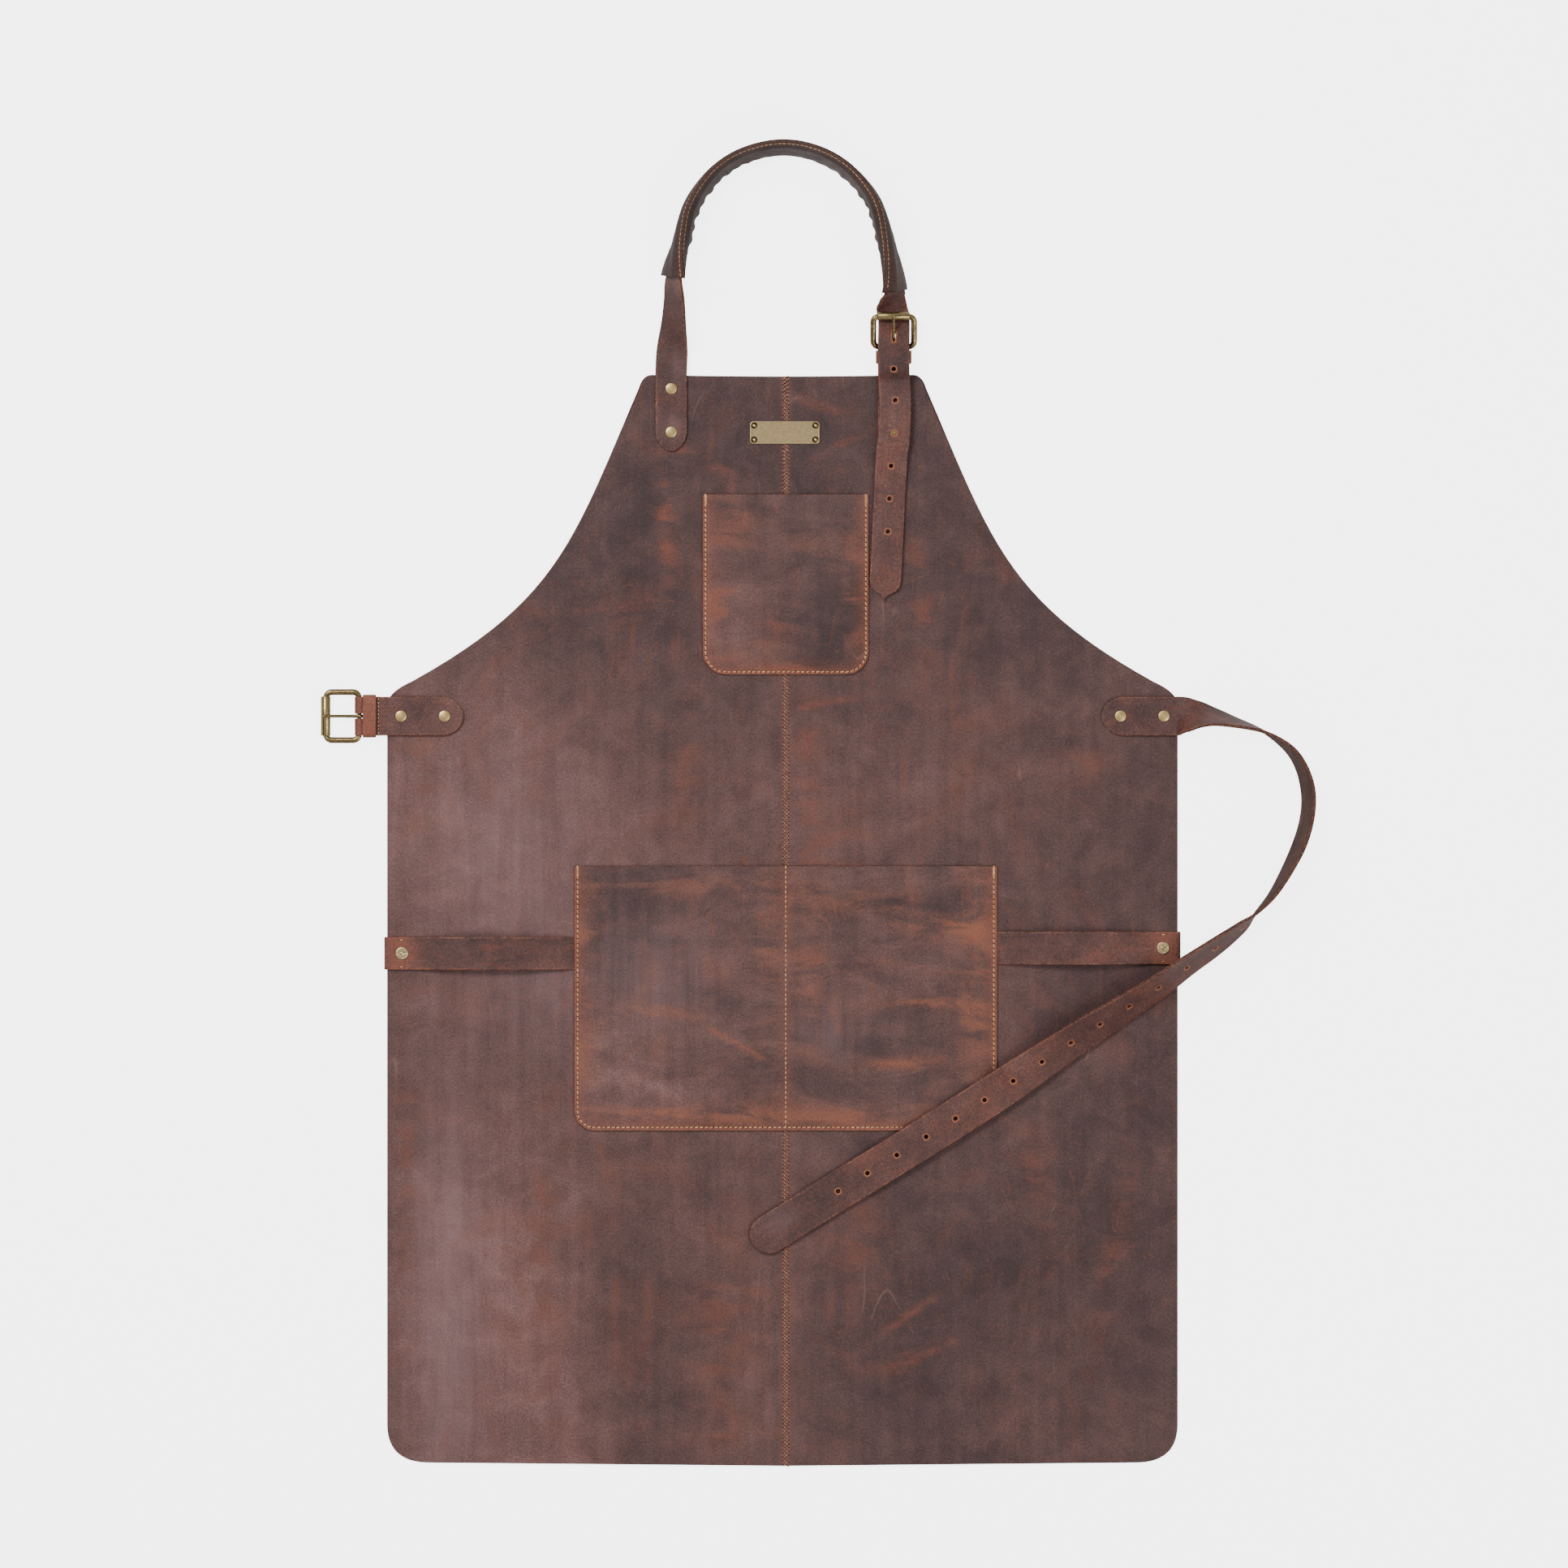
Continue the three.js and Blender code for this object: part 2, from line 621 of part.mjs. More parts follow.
// An eye round the heel bar and an arm that ends on top of the roller.
function prongBody(spacing, rollerRadius) {
  const eyeWidth = 2 * PRONG_RADIUS + 0.2;
  const startX = HEEL_BAR_RADIUS + 0.9;
  const startZ = PRONG_RADIUS;
  const restZ = rollerRadius + PRONG_RADIUS + GAP + 0.15;
  const slope = (restZ - startZ) / (spacing - startX);
  const endX = spacing + PRONG_OVERHANG;
  const arm = new THREE.LineCurve3(
    new THREE.Vector3(startX, 0, startZ),
    new THREE.Vector3(endX, 0, startZ + slope * (endX - startX)),
  );
  const section = new THREE.Shape();
  section.absarc(0, 0, PRONG_RADIUS, 0, 2 * Math.PI);
  const geometry = new THREE.ExtrudeGeometry(section, {
    steps: 1,
    extrudePath: arm,
    curveSegments: 6,
  });
  const eye = barAlongY(0, 0, eyeRadius, eyeWidth).add(solid(geometry));
  return eye.subtract(barAlongY(0, 0, HEEL_BAR_RADIUS + 0.25, eyeWidth + 2));
}

// A buckle assembly laid along its own +X from the body's edge.
function buckle(prefix, strapName, options) {
  const { width, spacing, rollerRadius, tilt, x, y, turn } = options;
  const group = new THREE.Group();
  group.position.set(x, y, 0);
  group.rotation.z = THREE.MathUtils.degToRad(turn);
  const holes = options.rivets.map((u) => post(u, 0, SHANK_RADIUS + GAP, 0, 8));
  group.add(piece(strapName, foldedStrap(width, holes), STRAP_HIDE));
  group.add(piece(prefix + "_keeper", keeperBody(width), STRAP_HIDE));
  const metal = new THREE.Group();
  metal.position.set(HEEL_REACH, 0, HEEL_Z);
  metal.rotation.y = -THREE.MathUtils.degToRad(tilt);
  metal.add(piece(prefix + "_buckle_frame", frameBody(width, spacing), BRASS));
  metal.add(piece(prefix + "_buckle_roller", rollerBody(width, spacing, rollerRadius), BRASS));
  metal.add(piece(prefix + "_buckle_prong", prongBody(spacing, rollerRadius), BRASS));
  group.add(metal);
  return group;
}

// ---------------------------------------------------------------- pockets

function pocketBody({ width, height, corner, top, chambers }, notches) {
  const outline = (inset, rise) => {
    const x0 = SEAM_X - width / 2 + inset;
    const x1 = SEAM_X + width / 2 - inset;
    const bottom = top - height + inset;
    const radius = Math.max(corner - inset, 2);
    const shape = new THREE.Shape();
    shape.moveTo(x0, top + rise).lineTo(x0, bottom + radius);
    shape.absarc(x0 + radius, bottom + radius, radius, Math.PI, 1.5 * Math.PI);
    shape.lineTo(x1 - radius, bottom);
    shape.absarc(x1 - radius, bottom + radius, radius, 1.5 * Math.PI, 2 * Math.PI);
    shape.lineTo(x1, top + rise);
    return shape;
  };
  const rimTop = BODY_THICK + POCKET_THICK;
  const wall = POCKET_RIM + POCKET_THICK;
  let hollow = slab(outline(wall, 2), BODY_THICK - 1, BODY_THICK + POCKET_PUFF);
  if (chambers === 2) {
    const rib = box(SEAM_X - wall, SEAM_X + wall, top - height, top + 4, 0, POCKET_TOP);
    hollow = hollow.subtract(rib);
  }
  let pocket = slab(outline(0, 0), BODY_THICK, rimTop);
  pocket = pocket.add(slab(outline(POCKET_RIM, 0), BODY_THICK, POCKET_TOP)).subtract(hollow);
  for (const notch of notches) pocket = pocket.subtract(notch);
  return pocket;
}

// ---------------------------------------------------------------- towel loops

// One loop, and what the body and the pocket give way to. side is -1 left, 1 right.
function towelLoop(side, y, studName) {
  const edge = EDGE_X;
  const inner = LOWER_POCKET_WIDTH / 2 + side * SEAM_X; // pocket's edge, measured outwards
  const outside = edge + GAP;
  const top = BODY_THICK + LOOP_THICK;
  const profile = new THREE.Shape();
  const bowStart = edge - LOOP_CLAMP;
  const bowEnd = inner + 3;
  const bow = (t) => LOOP_BOW * Math.sin(Math.PI * t);
  const steps = 14;
  profile.moveTo(outside, 0);
  profile.bezierCurveTo(outside + 3.2, 0, outside + 3.2, top, outside, top);
  for (let i = 0; i <= steps; i++) {
    profile.lineTo(bowStart + ((bowEnd - bowStart) * i) / steps, top + bow(i / steps));
  }
  const tuckTop = BODY_THICK + LOOP_TUCK_THICK;
  profile.lineTo(inner + GAP, tuckTop).lineTo(inner - LOOP_TUCK, tuckTop);
  profile.lineTo(inner - LOOP_TUCK, BODY_THICK);
  for (let i = steps; i >= 0; i--) {
    profile.lineTo(bowStart + ((bowEnd - bowStart) * i) / steps, BODY_THICK + bow(i / steps));
  }
  profile.lineTo(outside, BODY_THICK).lineTo(outside, LOOP_RETURN_THICK);
  profile.lineTo(edge - LOOP_RETURN, LOOP_RETURN_THICK).lineTo(edge - LOOP_RETURN, 0);

  let strap = widthOf(profile, LOOP_WIDTH, 6);
  if (side < 0) strap = strap.mirror([1, 0, 0]);
  strap = strap.translate([0, y, 0]);
  strap = strap.subtract(addStud(studName, side * (edge - STUD_INSET), y));

  const half = LOOP_WIDTH / 2 + GAP;
  const across = (x0, x1, z0, z1) => {
    const ends = [side * x0, side * x1].sort((a, b) => a - b);
    return box(ends[0], ends[1], y - half, y + half, z0, z1);
  };
  bodyCuts.push(across(edge - LOOP_RETURN - GAP, edge + 5, -1, LOOP_RETURN_THICK + GAP));
  const notch = across(inner - LOOP_TUCK - GAP, inner + 2, BODY_THICK - 1, tuckTop + GAP);
  return { strap, notch };
}

// ---------------------------------------------------------------- name plate

function namePlate(holes) {
  const bevel = 0.4;
  const outline = roundedRectangle(
    -PLATE_WIDTH / 2,
    -PLATE_HEIGHT / 2,
    PLATE_WIDTH / 2,
    PLATE_HEIGHT / 2,
    PLATE_CORNER,
  );
  const inner = roundedRectangle(
    -PLATE_WIDTH / 2 + bevel,
    -PLATE_HEIGHT / 2 + bevel,
    PLATE_WIDTH / 2 - bevel,
    PLATE_HEIGHT / 2 - bevel,
    PLATE_CORNER - bevel,
  );
  let plate = slab(outline, 0, PLATE_THICK - bevel, 4).add(slab(inner, 0, PLATE_THICK, 4));
  for (const hole of holes) plate = plate.subtract(hole);
  return plate;
}

// ---------------------------------------------------------------- routes

// Neck strap: up the left leg on its edge, over the crown, down to the buckle, then over
// the heel bar, the keeper and the rivets, and down the bib.
function neckRoute() {
  const legs = (share, rise) => [share * NECK_STRAP_X, TOP_Y + rise * NECK_RISE];
  const stand = (base, roll) => standing(base, roll, NECK_STRAP_WIDTH);
  const inSleeve = SLEEVE_WALL_BELOW + GAP;
  const heelY = TOP_Y + HEEL_REACH;
  const tilt = THREE.MathUtils.degToRad(NECK_TILT);
  const rollerY = heelY + NECK_BAR_SPACING * Math.cos(tilt);
  const rollerZ = HEEL_Z + NECK_BAR_SPACING * Math.sin(tilt);
  const half = STRAP_THICK / 2;
  const overKeeper = KEEPER_TOP + GAP + half;
  const underRoller = rollerZ - NECK_ROLLER_RADIUS - 3.5 * GAP - half - 0.4;
  const overRivets = CAP_TOP + GAP + half;
  const onBody = BODY_THICK + GAP + half;
  const firstRivet = TOP_Y - RIVET_INSET;
  const x = NECK_STRAP_X;
  return makeRoute([
    [-x, TOP_Y - STRAP_END, BODY_THICK + half, 0],
    [-x, TOP_Y - 20, BODY_THICK + half, 0],
    [-x, TOP_Y + 4, BODY_THICK + half, 0],
    [-x + 1.9, TOP_Y + 38, stand(GAP, 41), 41],
    [-x + 2.4, TOP_Y + 56.5, stand(GAP, 53), 53],
    [...legs(-0.974, 0.43), stand(inSleeve, 64), 64],
    [...legs(-0.9, 0.598), stand(inSleeve, 90), 90],
    [...legs(-0.83, 0.73), stand(inSleeve, 97), 97],
    [...legs(-0.705, 0.831), stand(inSleeve, 101), 101],
    [...legs(-0.55, 0.909), stand(inSleeve, 104), 104],
    [...legs(-0.35, 0.965), stand(inSleeve, 105), 105],
    [...legs(-0.1, 0.998), stand(inSleeve, 105), 105],
    [...legs(0.12, 0.998), stand(inSleeve, 105), 105],
    [...legs(0.35, 0.967), stand(inSleeve, 105), 105],
    [...legs(0.545, 0.914), stand(inSleeve, 104), 104],
    [...legs(0.7, 0.844), stand(inSleeve, 101), 101],
    [...legs(0.83, 0.752), stand(inSleeve, 97), 97],
    [...legs(0.912, 0.62), stand(inSleeve, 90), 90],
    [x + 0.2, rollerY + 20.5, stand(inSleeve, 63), 63],
    [x - 1.2, rollerY + 13, stand(GAP, 42), 42],
    [x - 1.4, rollerY + 6, underRoller - 0.6, 12],
    [x, rollerY - 0.5, underRoller, 2],
    [x, heelY + 1, overKeeper, 0],
    [x, TOP_Y + KEEPER_START - 3.4, overKeeper, 0],
    [x + 0.4, firstRivet + 5.2, overRivets, 0],
    [x + 1.2, firstRivet - 10, overRivets, 0],
    [x + 0.2, firstRivet - RIVET_SPACING - 5, overRivets, 0],
    [x - 1.2, TOP_Y - STRAP_END, STRAP_TOP + GAP + half, 0],
    [x - 3, TOP_Y - STRAP_END - 32, onBody, 0],
    [x - 5.6, TOP_Y - STRAP_END - 86, onBody, 0],
    [x - 7.4, TOP_Y - STRAP_END - 113, onBody, 0],
  ]);
}

// Waist strap: off the body's right edge, twisted on its edge round a wide bend, and back
// down across the lower pocket.
function waistRoute() {
  const stand = (base, roll) => standing(base, roll, WAIST_STRAP_WIDTH);
  const half = STRAP_THICK / 2;
  const onBody = BODY_THICK + GAP;
  const onPocket = POCKET_TOP + GAP;
  const at = (dx, dy, z, roll) => [EDGE_X + dx, WAIST_Y + dy, z, roll];
  return makeRoute([
    at(-STRAP_END, 0, BODY_THICK + half, 0),
    at(-25, 0, BODY_THICK + half, 0),
    at(-3, 0, BODY_THICK + half, 0),
    at(9, 0.2, stand(BODY_THICK - 1.2, 33), 33),
    at(24.6, -0.4, stand(GAP, 62), 62),
    at(42.5, -4.6, stand(GAP, 77), 77),
    at(66.5, -12.6, stand(GAP, 90), 90),
    at(85.6, -26.4, stand(GAP, 100), 100),
    at(94.2, -40.4, stand(GAP, 104), 104),
    at(98.6, -57.1, stand(GAP, 107), 107),
    at(98.2, -74.9, stand(GAP, 107), 107),
    at(93.1, -94.6, stand(GAP, 107), 107),
    at(82.8, -116.8, stand(GAP, 103), 103),
    at(70.8, -136.5, stand(GAP, 97), 97),
    at(57.9, -150.7, stand(GAP, 89), 89),
    at(49.3, -159, stand(GAP, 76), 76),
    at(27.7, -175.3, stand(GAP, 65), 65),
    at(6.8, -189.5, stand(onBody, 60), 60),
    at(-13.9, -204.3, stand(onBody, 54), 54),
    at(-80.7, -246.8, stand(onBody + 1, 34), 34),
    at(-145.4, -290.2, stand(onPocket, 6), 6),
    at(-212.8, -332.7, onPocket + half, 0),
    at(-270, -368, onBody + half, 0),
    at(-305.5, -390.3, onBody + half, 0),
    at(-322.2, -400.8, onBody + half, 0),
  ]);
}

// ---------------------------------------------------------------- the assembly

const apron = new THREE.Group();

const rivetInsets = [-RIVET_INSET, -RIVET_INSET - RIVET_SPACING];

// Neck strap with its rivet holes, its row of punched holes and the hole on the prong
const neck = neckRoute();
const neckStart = neck.frame(0).at;
const neckEnd = neck.frame(1);
let neckStrap = sweep(neck, flatSection(NECK_STRAP_WIDTH, STRAP_THICK));
neckStrap = neckStrap.subtract(
  tipWasteAt(neckStart.x, neckStart.y, 180, NECK_STRAP_WIDTH, TIP_LENGTH, 0.45, false),
);
const neckEndAngle = THREE.MathUtils.radToDeg(Math.atan2(-neckEnd.ahead.x, neckEnd.ahead.y));
neckStrap = neckStrap.subtract(
  tipWasteAt(neckEnd.at.x, neckEnd.at.y, neckEndAngle, NECK_STRAP_WIDTH, TIP_LENGTH, 0.3, true),
);
rivetInsets.forEach((inset, i) => {
  neckStrap = neckStrap.subtract(addRivet(`neck_left_rivet_${i + 1}`, -NECK_STRAP_X, TOP_Y + inset));
});
const prongHole = HEEL_REACH + 8.2; // from the body's edge
const prongHoleDistance = neck.distanceNear(NECK_STRAP_X, TOP_Y + prongHole);
neckStrap = neckStrap.subtract(punch(neck, prongHoleDistance, HOLE_RADIUS, 2.75));
for (let i = 1; i <= NECK_HOLES; i++) {
  const distance = prongHoleDistance + i * NECK_HOLE_SPACING;
  neckStrap = neckStrap.subtract(punch(neck, distance, HOLE_RADIUS));
}
apron.add(piece("neck_strap", neckStrap, STRAP_HIDE));

// Sleeve, from just above the left leg's bend to just above the buckle
const strapSlot = flatSection(NECK_STRAP_WIDTH + 2 * GAP, STRAP_THICK + 2 * GAP);
const low = -NECK_STRAP_WIDTH / 2 - SLEEVE_WALL_BELOW;
const high = NECK_STRAP_WIDTH / 2 + FLANGE_REACH;
const sleeveSection = [
  [low, 0],
  [low + 0.7, -2.6],
  [low + 4, -SLEEVE_HALF_THICK * 0.88],
  [0, -SLEEVE_HALF_THICK],
  [high - 9, -SLEEVE_HALF_THICK * 0.8],
  [high - 4.4, -FLANGE_HALF_THICK - 1],
  [high - 3, -FLANGE_HALF_THICK],
  [high, -FLANGE_HALF_THICK],
  [high, FLANGE_HALF_THICK],
  [high - 3, FLANGE_HALF_THICK],
  [high - 4.4, FLANGE_HALF_THICK + 1],
  [high - 9, SLEEVE_HALF_THICK * 0.8],
  [0, SLEEVE_HALF_THICK],
  [low + 4, SLEEVE_HALF_THICK * 0.88],
  [low + 0.7, 2.6],
];
const sleeveFrom = neck.stationNear(-NECK_STRAP_X, TOP_Y + 0.43 * NECK_RISE);
const sleeveTo = neck.stationNear(NECK_STRAP_X, TOP_Y + HEEL_REACH + NECK_BAR_SPACING + 18.6);
const sleeve = sweep(neck, sleeveSection, sleeveFrom, sleeveTo).subtract(
  sweep(neck, strapSlot, sleeveFrom - 1, sleeveTo + 1),
);
apron.add(piece("neck_sleeve", sleeve, SLEEVE_HIDE));

// Waist strap
const waist = waistRoute();
const waistEnd = waist.frame(1);
const waistEndAngle = THREE.MathUtils.radToDeg(Math.atan2(-waistEnd.ahead.x, waistEnd.ahead.y));
let waistStrap = sweep(waist, flatSection(WAIST_STRAP_WIDTH, STRAP_THICK));
waistStrap = waistStrap
  .subtract(tipWasteAt(EDGE_X - STRAP_END, WAIST_Y, 90, WAIST_STRAP_WIDTH, TIP_LENGTH, 0.45, false))
  .subtract(
    tipWasteAt(waistEnd.at.x, waistEnd.at.y, waistEndAngle, WAIST_STRAP_WIDTH, TIP_LENGTH, 0.7, false),
  );
rivetInsets.forEach((inset, i) => {
  const name = `waist_right_rivet_${i + 1}`;
  waistStrap = waistStrap.subtract(addRivet(name, EDGE_X + inset, WAIST_Y));
});
const firstWaistHole = 76; // from the strap's tip
for (let i = 0; i < WAIST_HOLES; i++) {
  const distance = waist.length - firstWaistHole - i * WAIST_HOLE_SPACING;
  waistStrap = waistStrap.subtract(punch(waist, distance, HOLE_RADIUS));
}
apron.add(piece("waist_strap", waistStrap, STRAP_HIDE));

// Buckles with their rivets
apron.add(
  buckle("waist", "waist_buckle_tab", {
    width: WAIST_STRAP_WIDTH,
    spacing: WAIST_BAR_SPACING,
    rollerRadius: WAIST_ROLLER_RADIUS,
    tilt: WAIST_TILT,
    x: -EDGE_X,
    y: WAIST_Y,
    turn: 180,
    rivets: rivetInsets,
  }),
);
apron.add(
  buckle("neck", "neck_buckle_strap", {
    width: NECK_STRAP_WIDTH,
    spacing: NECK_BAR_SPACING,
    rollerRadius: NECK_ROLLER_RADIUS,
    tilt: NECK_TILT,
    x: NECK_STRAP_X,
    y: TOP_Y,
    turn: 90,
    rivets: rivetInsets,
  }),
);
rivetInsets.forEach((inset, i) => {
  addRivet(`waist_left_rivet_${i + 1}`, -EDGE_X - inset, WAIST_Y);
  addRivet(`neck_right_rivet_${i + 1}`, NECK_STRAP_X, TOP_Y + inset);
});

// Pockets and towel loops
const leftLoop = towelLoop(-1, lowerPocket.top - LOOP_DROP.left, "loop_left_stud");
const rightLoop = towelLoop(1, lowerPocket.top - LOOP_DROP.right, "loop_right_stud");
apron.add(piece("towel_loop_left", leftLoop.strap, STRAP_HIDE));
apron.add(piece("towel_loop_right", rightLoop.strap, STRAP_HIDE));
apron.add(piece("chest_pocket", pocketBody(chestPocket, []), POCKET_HIDE));
apron.add(
  piece("lower_pocket", pocketBody(lowerPocket, [leftLoop.notch, rightLoop.notch]), POCKET_HIDE),
);

// Name plate on four pins
const plateX = SEAM_X - 0.7;
const plateY = TOP_Y - PLATE_DROP;
const plateHoles = [];
let pinNumber = 0;
for (const sideY of [1, -1]) {
  for (const sideX of [-1, 1]) {
    const x = sideX * (PLATE_WIDTH / 2 - PLATE_PIN_INSET);
    const y = sideY * (PLATE_HEIGHT / 2 - PLATE_PIN_INSET);
    plateHoles.push(post(x, y, PLATE_PIN_RADIUS + GAP, -1, 3));
    const stack = BODY_THICK + PLATE_THICK;
    const profile = [
      [0, 0.3],
      [PLATE_PIN_RADIUS, 0.3],
      [PLATE_PIN_RADIUS, stack],
      [PLATE_PIN_HEAD, stack],
      [PLATE_PIN_HEAD * 0.7, stack + 0.6],
      [0, stack + 0.7],
    ];
    pinNumber += 1;
    const pin = piece(`name_plate_pin_${pinNumber}`, turned(profile, 0, 12), PALE_BRASS);
    pin.position.set(plateX + x, plateY + y, 0);
    fixings.add(pin);
    bodyCuts.push(post(plateX + x, plateY + y, PLATE_PIN_RADIUS + GAP, -1, 3, 12));
  }
}
const plate = piece("name_plate", namePlate(plateHoles), BRASS);
plate.position.set(plateX, plateY, BODY_THICK);
apron.add(plate);

// Body: one outline, cut along the seam into a left and a right panel
let hide = slab(bodyOutline(), 0, BODY_THICK, 14);
for (const cut of bodyCuts) hide = hide.subtract(cut);
const far = BODY_WIDTH + BODY_LENGTH;
const leftHalf = box(-far, SEAM_X, -far, far, -5, 5);
apron.add(piece("body_panel_left", hide.intersect(leftHalf), HIDE));
apron.add(piece("body_panel_right", hide.subtract(leftHalf), HIDE));
apron.add(fixings);

export default apron;
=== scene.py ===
# %% [markdown]
# # A butcher apron in oiled leather
#
# Hard parts are rebuilt rounder than the CAD has them, and every piece of leather is rebuilt as a real
# sheet with rounded cut edges, a grain side and a flesh side. Sizes are written in millimetres and turned
# into metres when a mesh is made.


import math

import bpy
import numpy as np
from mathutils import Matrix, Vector


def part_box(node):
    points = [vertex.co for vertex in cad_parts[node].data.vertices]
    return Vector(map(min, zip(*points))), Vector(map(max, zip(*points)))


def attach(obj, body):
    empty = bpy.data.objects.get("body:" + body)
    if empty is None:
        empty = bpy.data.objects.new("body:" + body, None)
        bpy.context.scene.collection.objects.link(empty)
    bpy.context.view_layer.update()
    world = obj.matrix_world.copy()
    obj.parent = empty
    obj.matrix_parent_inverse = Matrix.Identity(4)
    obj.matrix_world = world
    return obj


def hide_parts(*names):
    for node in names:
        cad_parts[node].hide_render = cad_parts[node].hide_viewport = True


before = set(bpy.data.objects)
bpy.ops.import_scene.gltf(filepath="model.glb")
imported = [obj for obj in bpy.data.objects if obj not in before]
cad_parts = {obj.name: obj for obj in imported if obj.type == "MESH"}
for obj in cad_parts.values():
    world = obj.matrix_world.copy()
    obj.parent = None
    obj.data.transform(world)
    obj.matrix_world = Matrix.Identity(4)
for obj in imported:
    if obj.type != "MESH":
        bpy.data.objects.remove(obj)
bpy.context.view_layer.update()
MM = 0.001


# %% [markdown]
# ## Sizes
# The same sizes as in the CAD part, in millimetres. Bodies, straps and buckles are placed from them.


# %% Named sizes
BODY_THICK = 1.8
SEAM_X = 2.5
TOP_Y, EDGE_X, WAIST_Y = 414.0, 300.0, 155.0
STRAP_THICK = 2.6
NECK_WIDTH, WAIST_WIDTH = 24.0, 29.5
TIP_LENGTH = 16.0
NECK_X = 84.4  # from the middle to both ends of the neck strap
STRAP_END = 58.0  # how far riveted straps reach in over the body
RIVETS = (-10.5, -43.5)
HEEL_REACH, HEEL_Z = 21.0, 5.1  # a buckle's heel bar, out from the body's edge and up
NECK_SPACING, WAIST_SPACING = 24.5, 25.6  # heel bar to roller bar
NECK_TILT, WAIST_TILT = 18.0, -2.5  # degrees, up from level
NECK_ROLLER, WAIST_ROLLER = 3.2, 3.65
KEEPER_TOP = 10.5
POCKET_THICK = 1.6
POCKET_TOP = 4.2
CHEST_INSET, LOWER_INSET = 2.2, 2.6
CAP_RADIUS, CAP_HEIGHT, CAP_TOP = 4.35, 1.3, 5.7
STUD_RADIUS, STUD_HEIGHT, STUD_IN = 4.6, 1.15, 11.0
LOOP_WIDTH, LOOP_THICK = 25.0, 2.2
PLATE_HALF, PLATE_CORNER = (26.5, 8.6), 2.6
GAP = 0.3  # between a loose strap and what it lies on
HOLE_RADIUS = 1.75
STITCH_GROOVE = 0.28
CHEST = {"x0": -60.5, "x1": 65.5, "y0": 186.4, "y1": 323.4, "corners": (17.0, 17.0)}
LOWER = {"x0": -158.0, "x1": 163.0, "y0": -159.7, "y1": 41.3, "corners": (15.0, 28.0)}
LOOPS = {"left": (-1, -25.0), "right": (1, -21.0)}

# Places where metal is fixed or a buckle hangs: the hide lies flat there, and waves over CALM_REACH away
CALM_REACH = 26.0
CALM = [(-300, 155), (300, 155), (-262, 155), (262, 155), (-84, 414), (84, 414), (-84, 372), (84, 372)]
CALM += [(-288, -25), (289, -21), (1.8, 370.2)]


def ground(x, y):
    """Height of the hide over the table: slow waves under half a millimetre, flat at the fixings."""
    x, y = np.asarray(x, float), np.asarray(y, float)
    waves = np.sin(x * 0.031 + 1.7) * np.cos(y * 0.023 + 0.6) * 0.45
    waves = waves + np.sin(x * 0.017 - y * 0.041 + 2.9) * 0.35
    waves = waves + np.sin(x * 0.083 + y * 0.029 + 0.4) * np.sin(y * 0.067 - 1.1) * 0.2
    height = 0.45 * (0.5 + 0.5 * waves)
    for cx, cy in CALM:
        height = height * (1 - np.exp(-((x - cx) ** 2 + (y - cy) ** 2) / (2 * CALM_REACH**2)))
    return height


def smooth(t):
    """0 to 1 with a soft start and a soft end."""
    t = np.clip(t, 0, 1)
    return t * t * (3 - 2 * t)


# %% [markdown]
# ## Shader building
# A small class keeps the node graphs readable. Colours are sRGB hex values turned to linear by one function.


# %% Shader helper
def linear(hexa):
    """An sRGB hex colour as linear red, green, blue and alpha."""
    parts = [int(hexa[i : i + 2], 16) / 255 for i in (1, 3, 5)]
    return [c / 12.92 if c <= 0.04045 else ((c + 0.055) / 1.055) ** 2.4 for c in parts] + [1.0]


NEARLY_E = 2.718


class Graph:
    """A node tree, for a material or for Geometry Nodes."""

    def __init__(self, tree):
        self.tree = tree

    def plug(self, socket, value):
        if isinstance(value, bpy.types.NodeSocket):
            self.tree.links.new(value, socket)
        else:
            socket.default_value = value

    def node(self, kind, settings=None, **inputs):
        made = self.tree.nodes.new(kind)
        for key, value in (settings or {}).items():
            setattr(made, key, value)
        for key, value in inputs.items():
            self.plug(made.inputs[key.replace("_", " ")], value)
        return made

    def math(self, operation, a, b=0.0, clamp=False):
        made = self.tree.nodes.new("ShaderNodeMath")
        made.operation, made.use_clamp = operation, clamp
        self.plug(made.inputs[0], a)
        self.plug(made.inputs[1], b)
        return made.outputs[0]

    def times(self, a, b, clamp=False):
        return self.math("MULTIPLY", a, b, clamp)

    def plus(self, value, part, amount):
        return self.math("ADD", value, self.times(part, amount))

    def lean(self, tone, part, amount):
        """Moves a tone by how far a noise is from its middle."""
        return self.plus(tone, self.math("SUBTRACT", part, 0.5), amount)


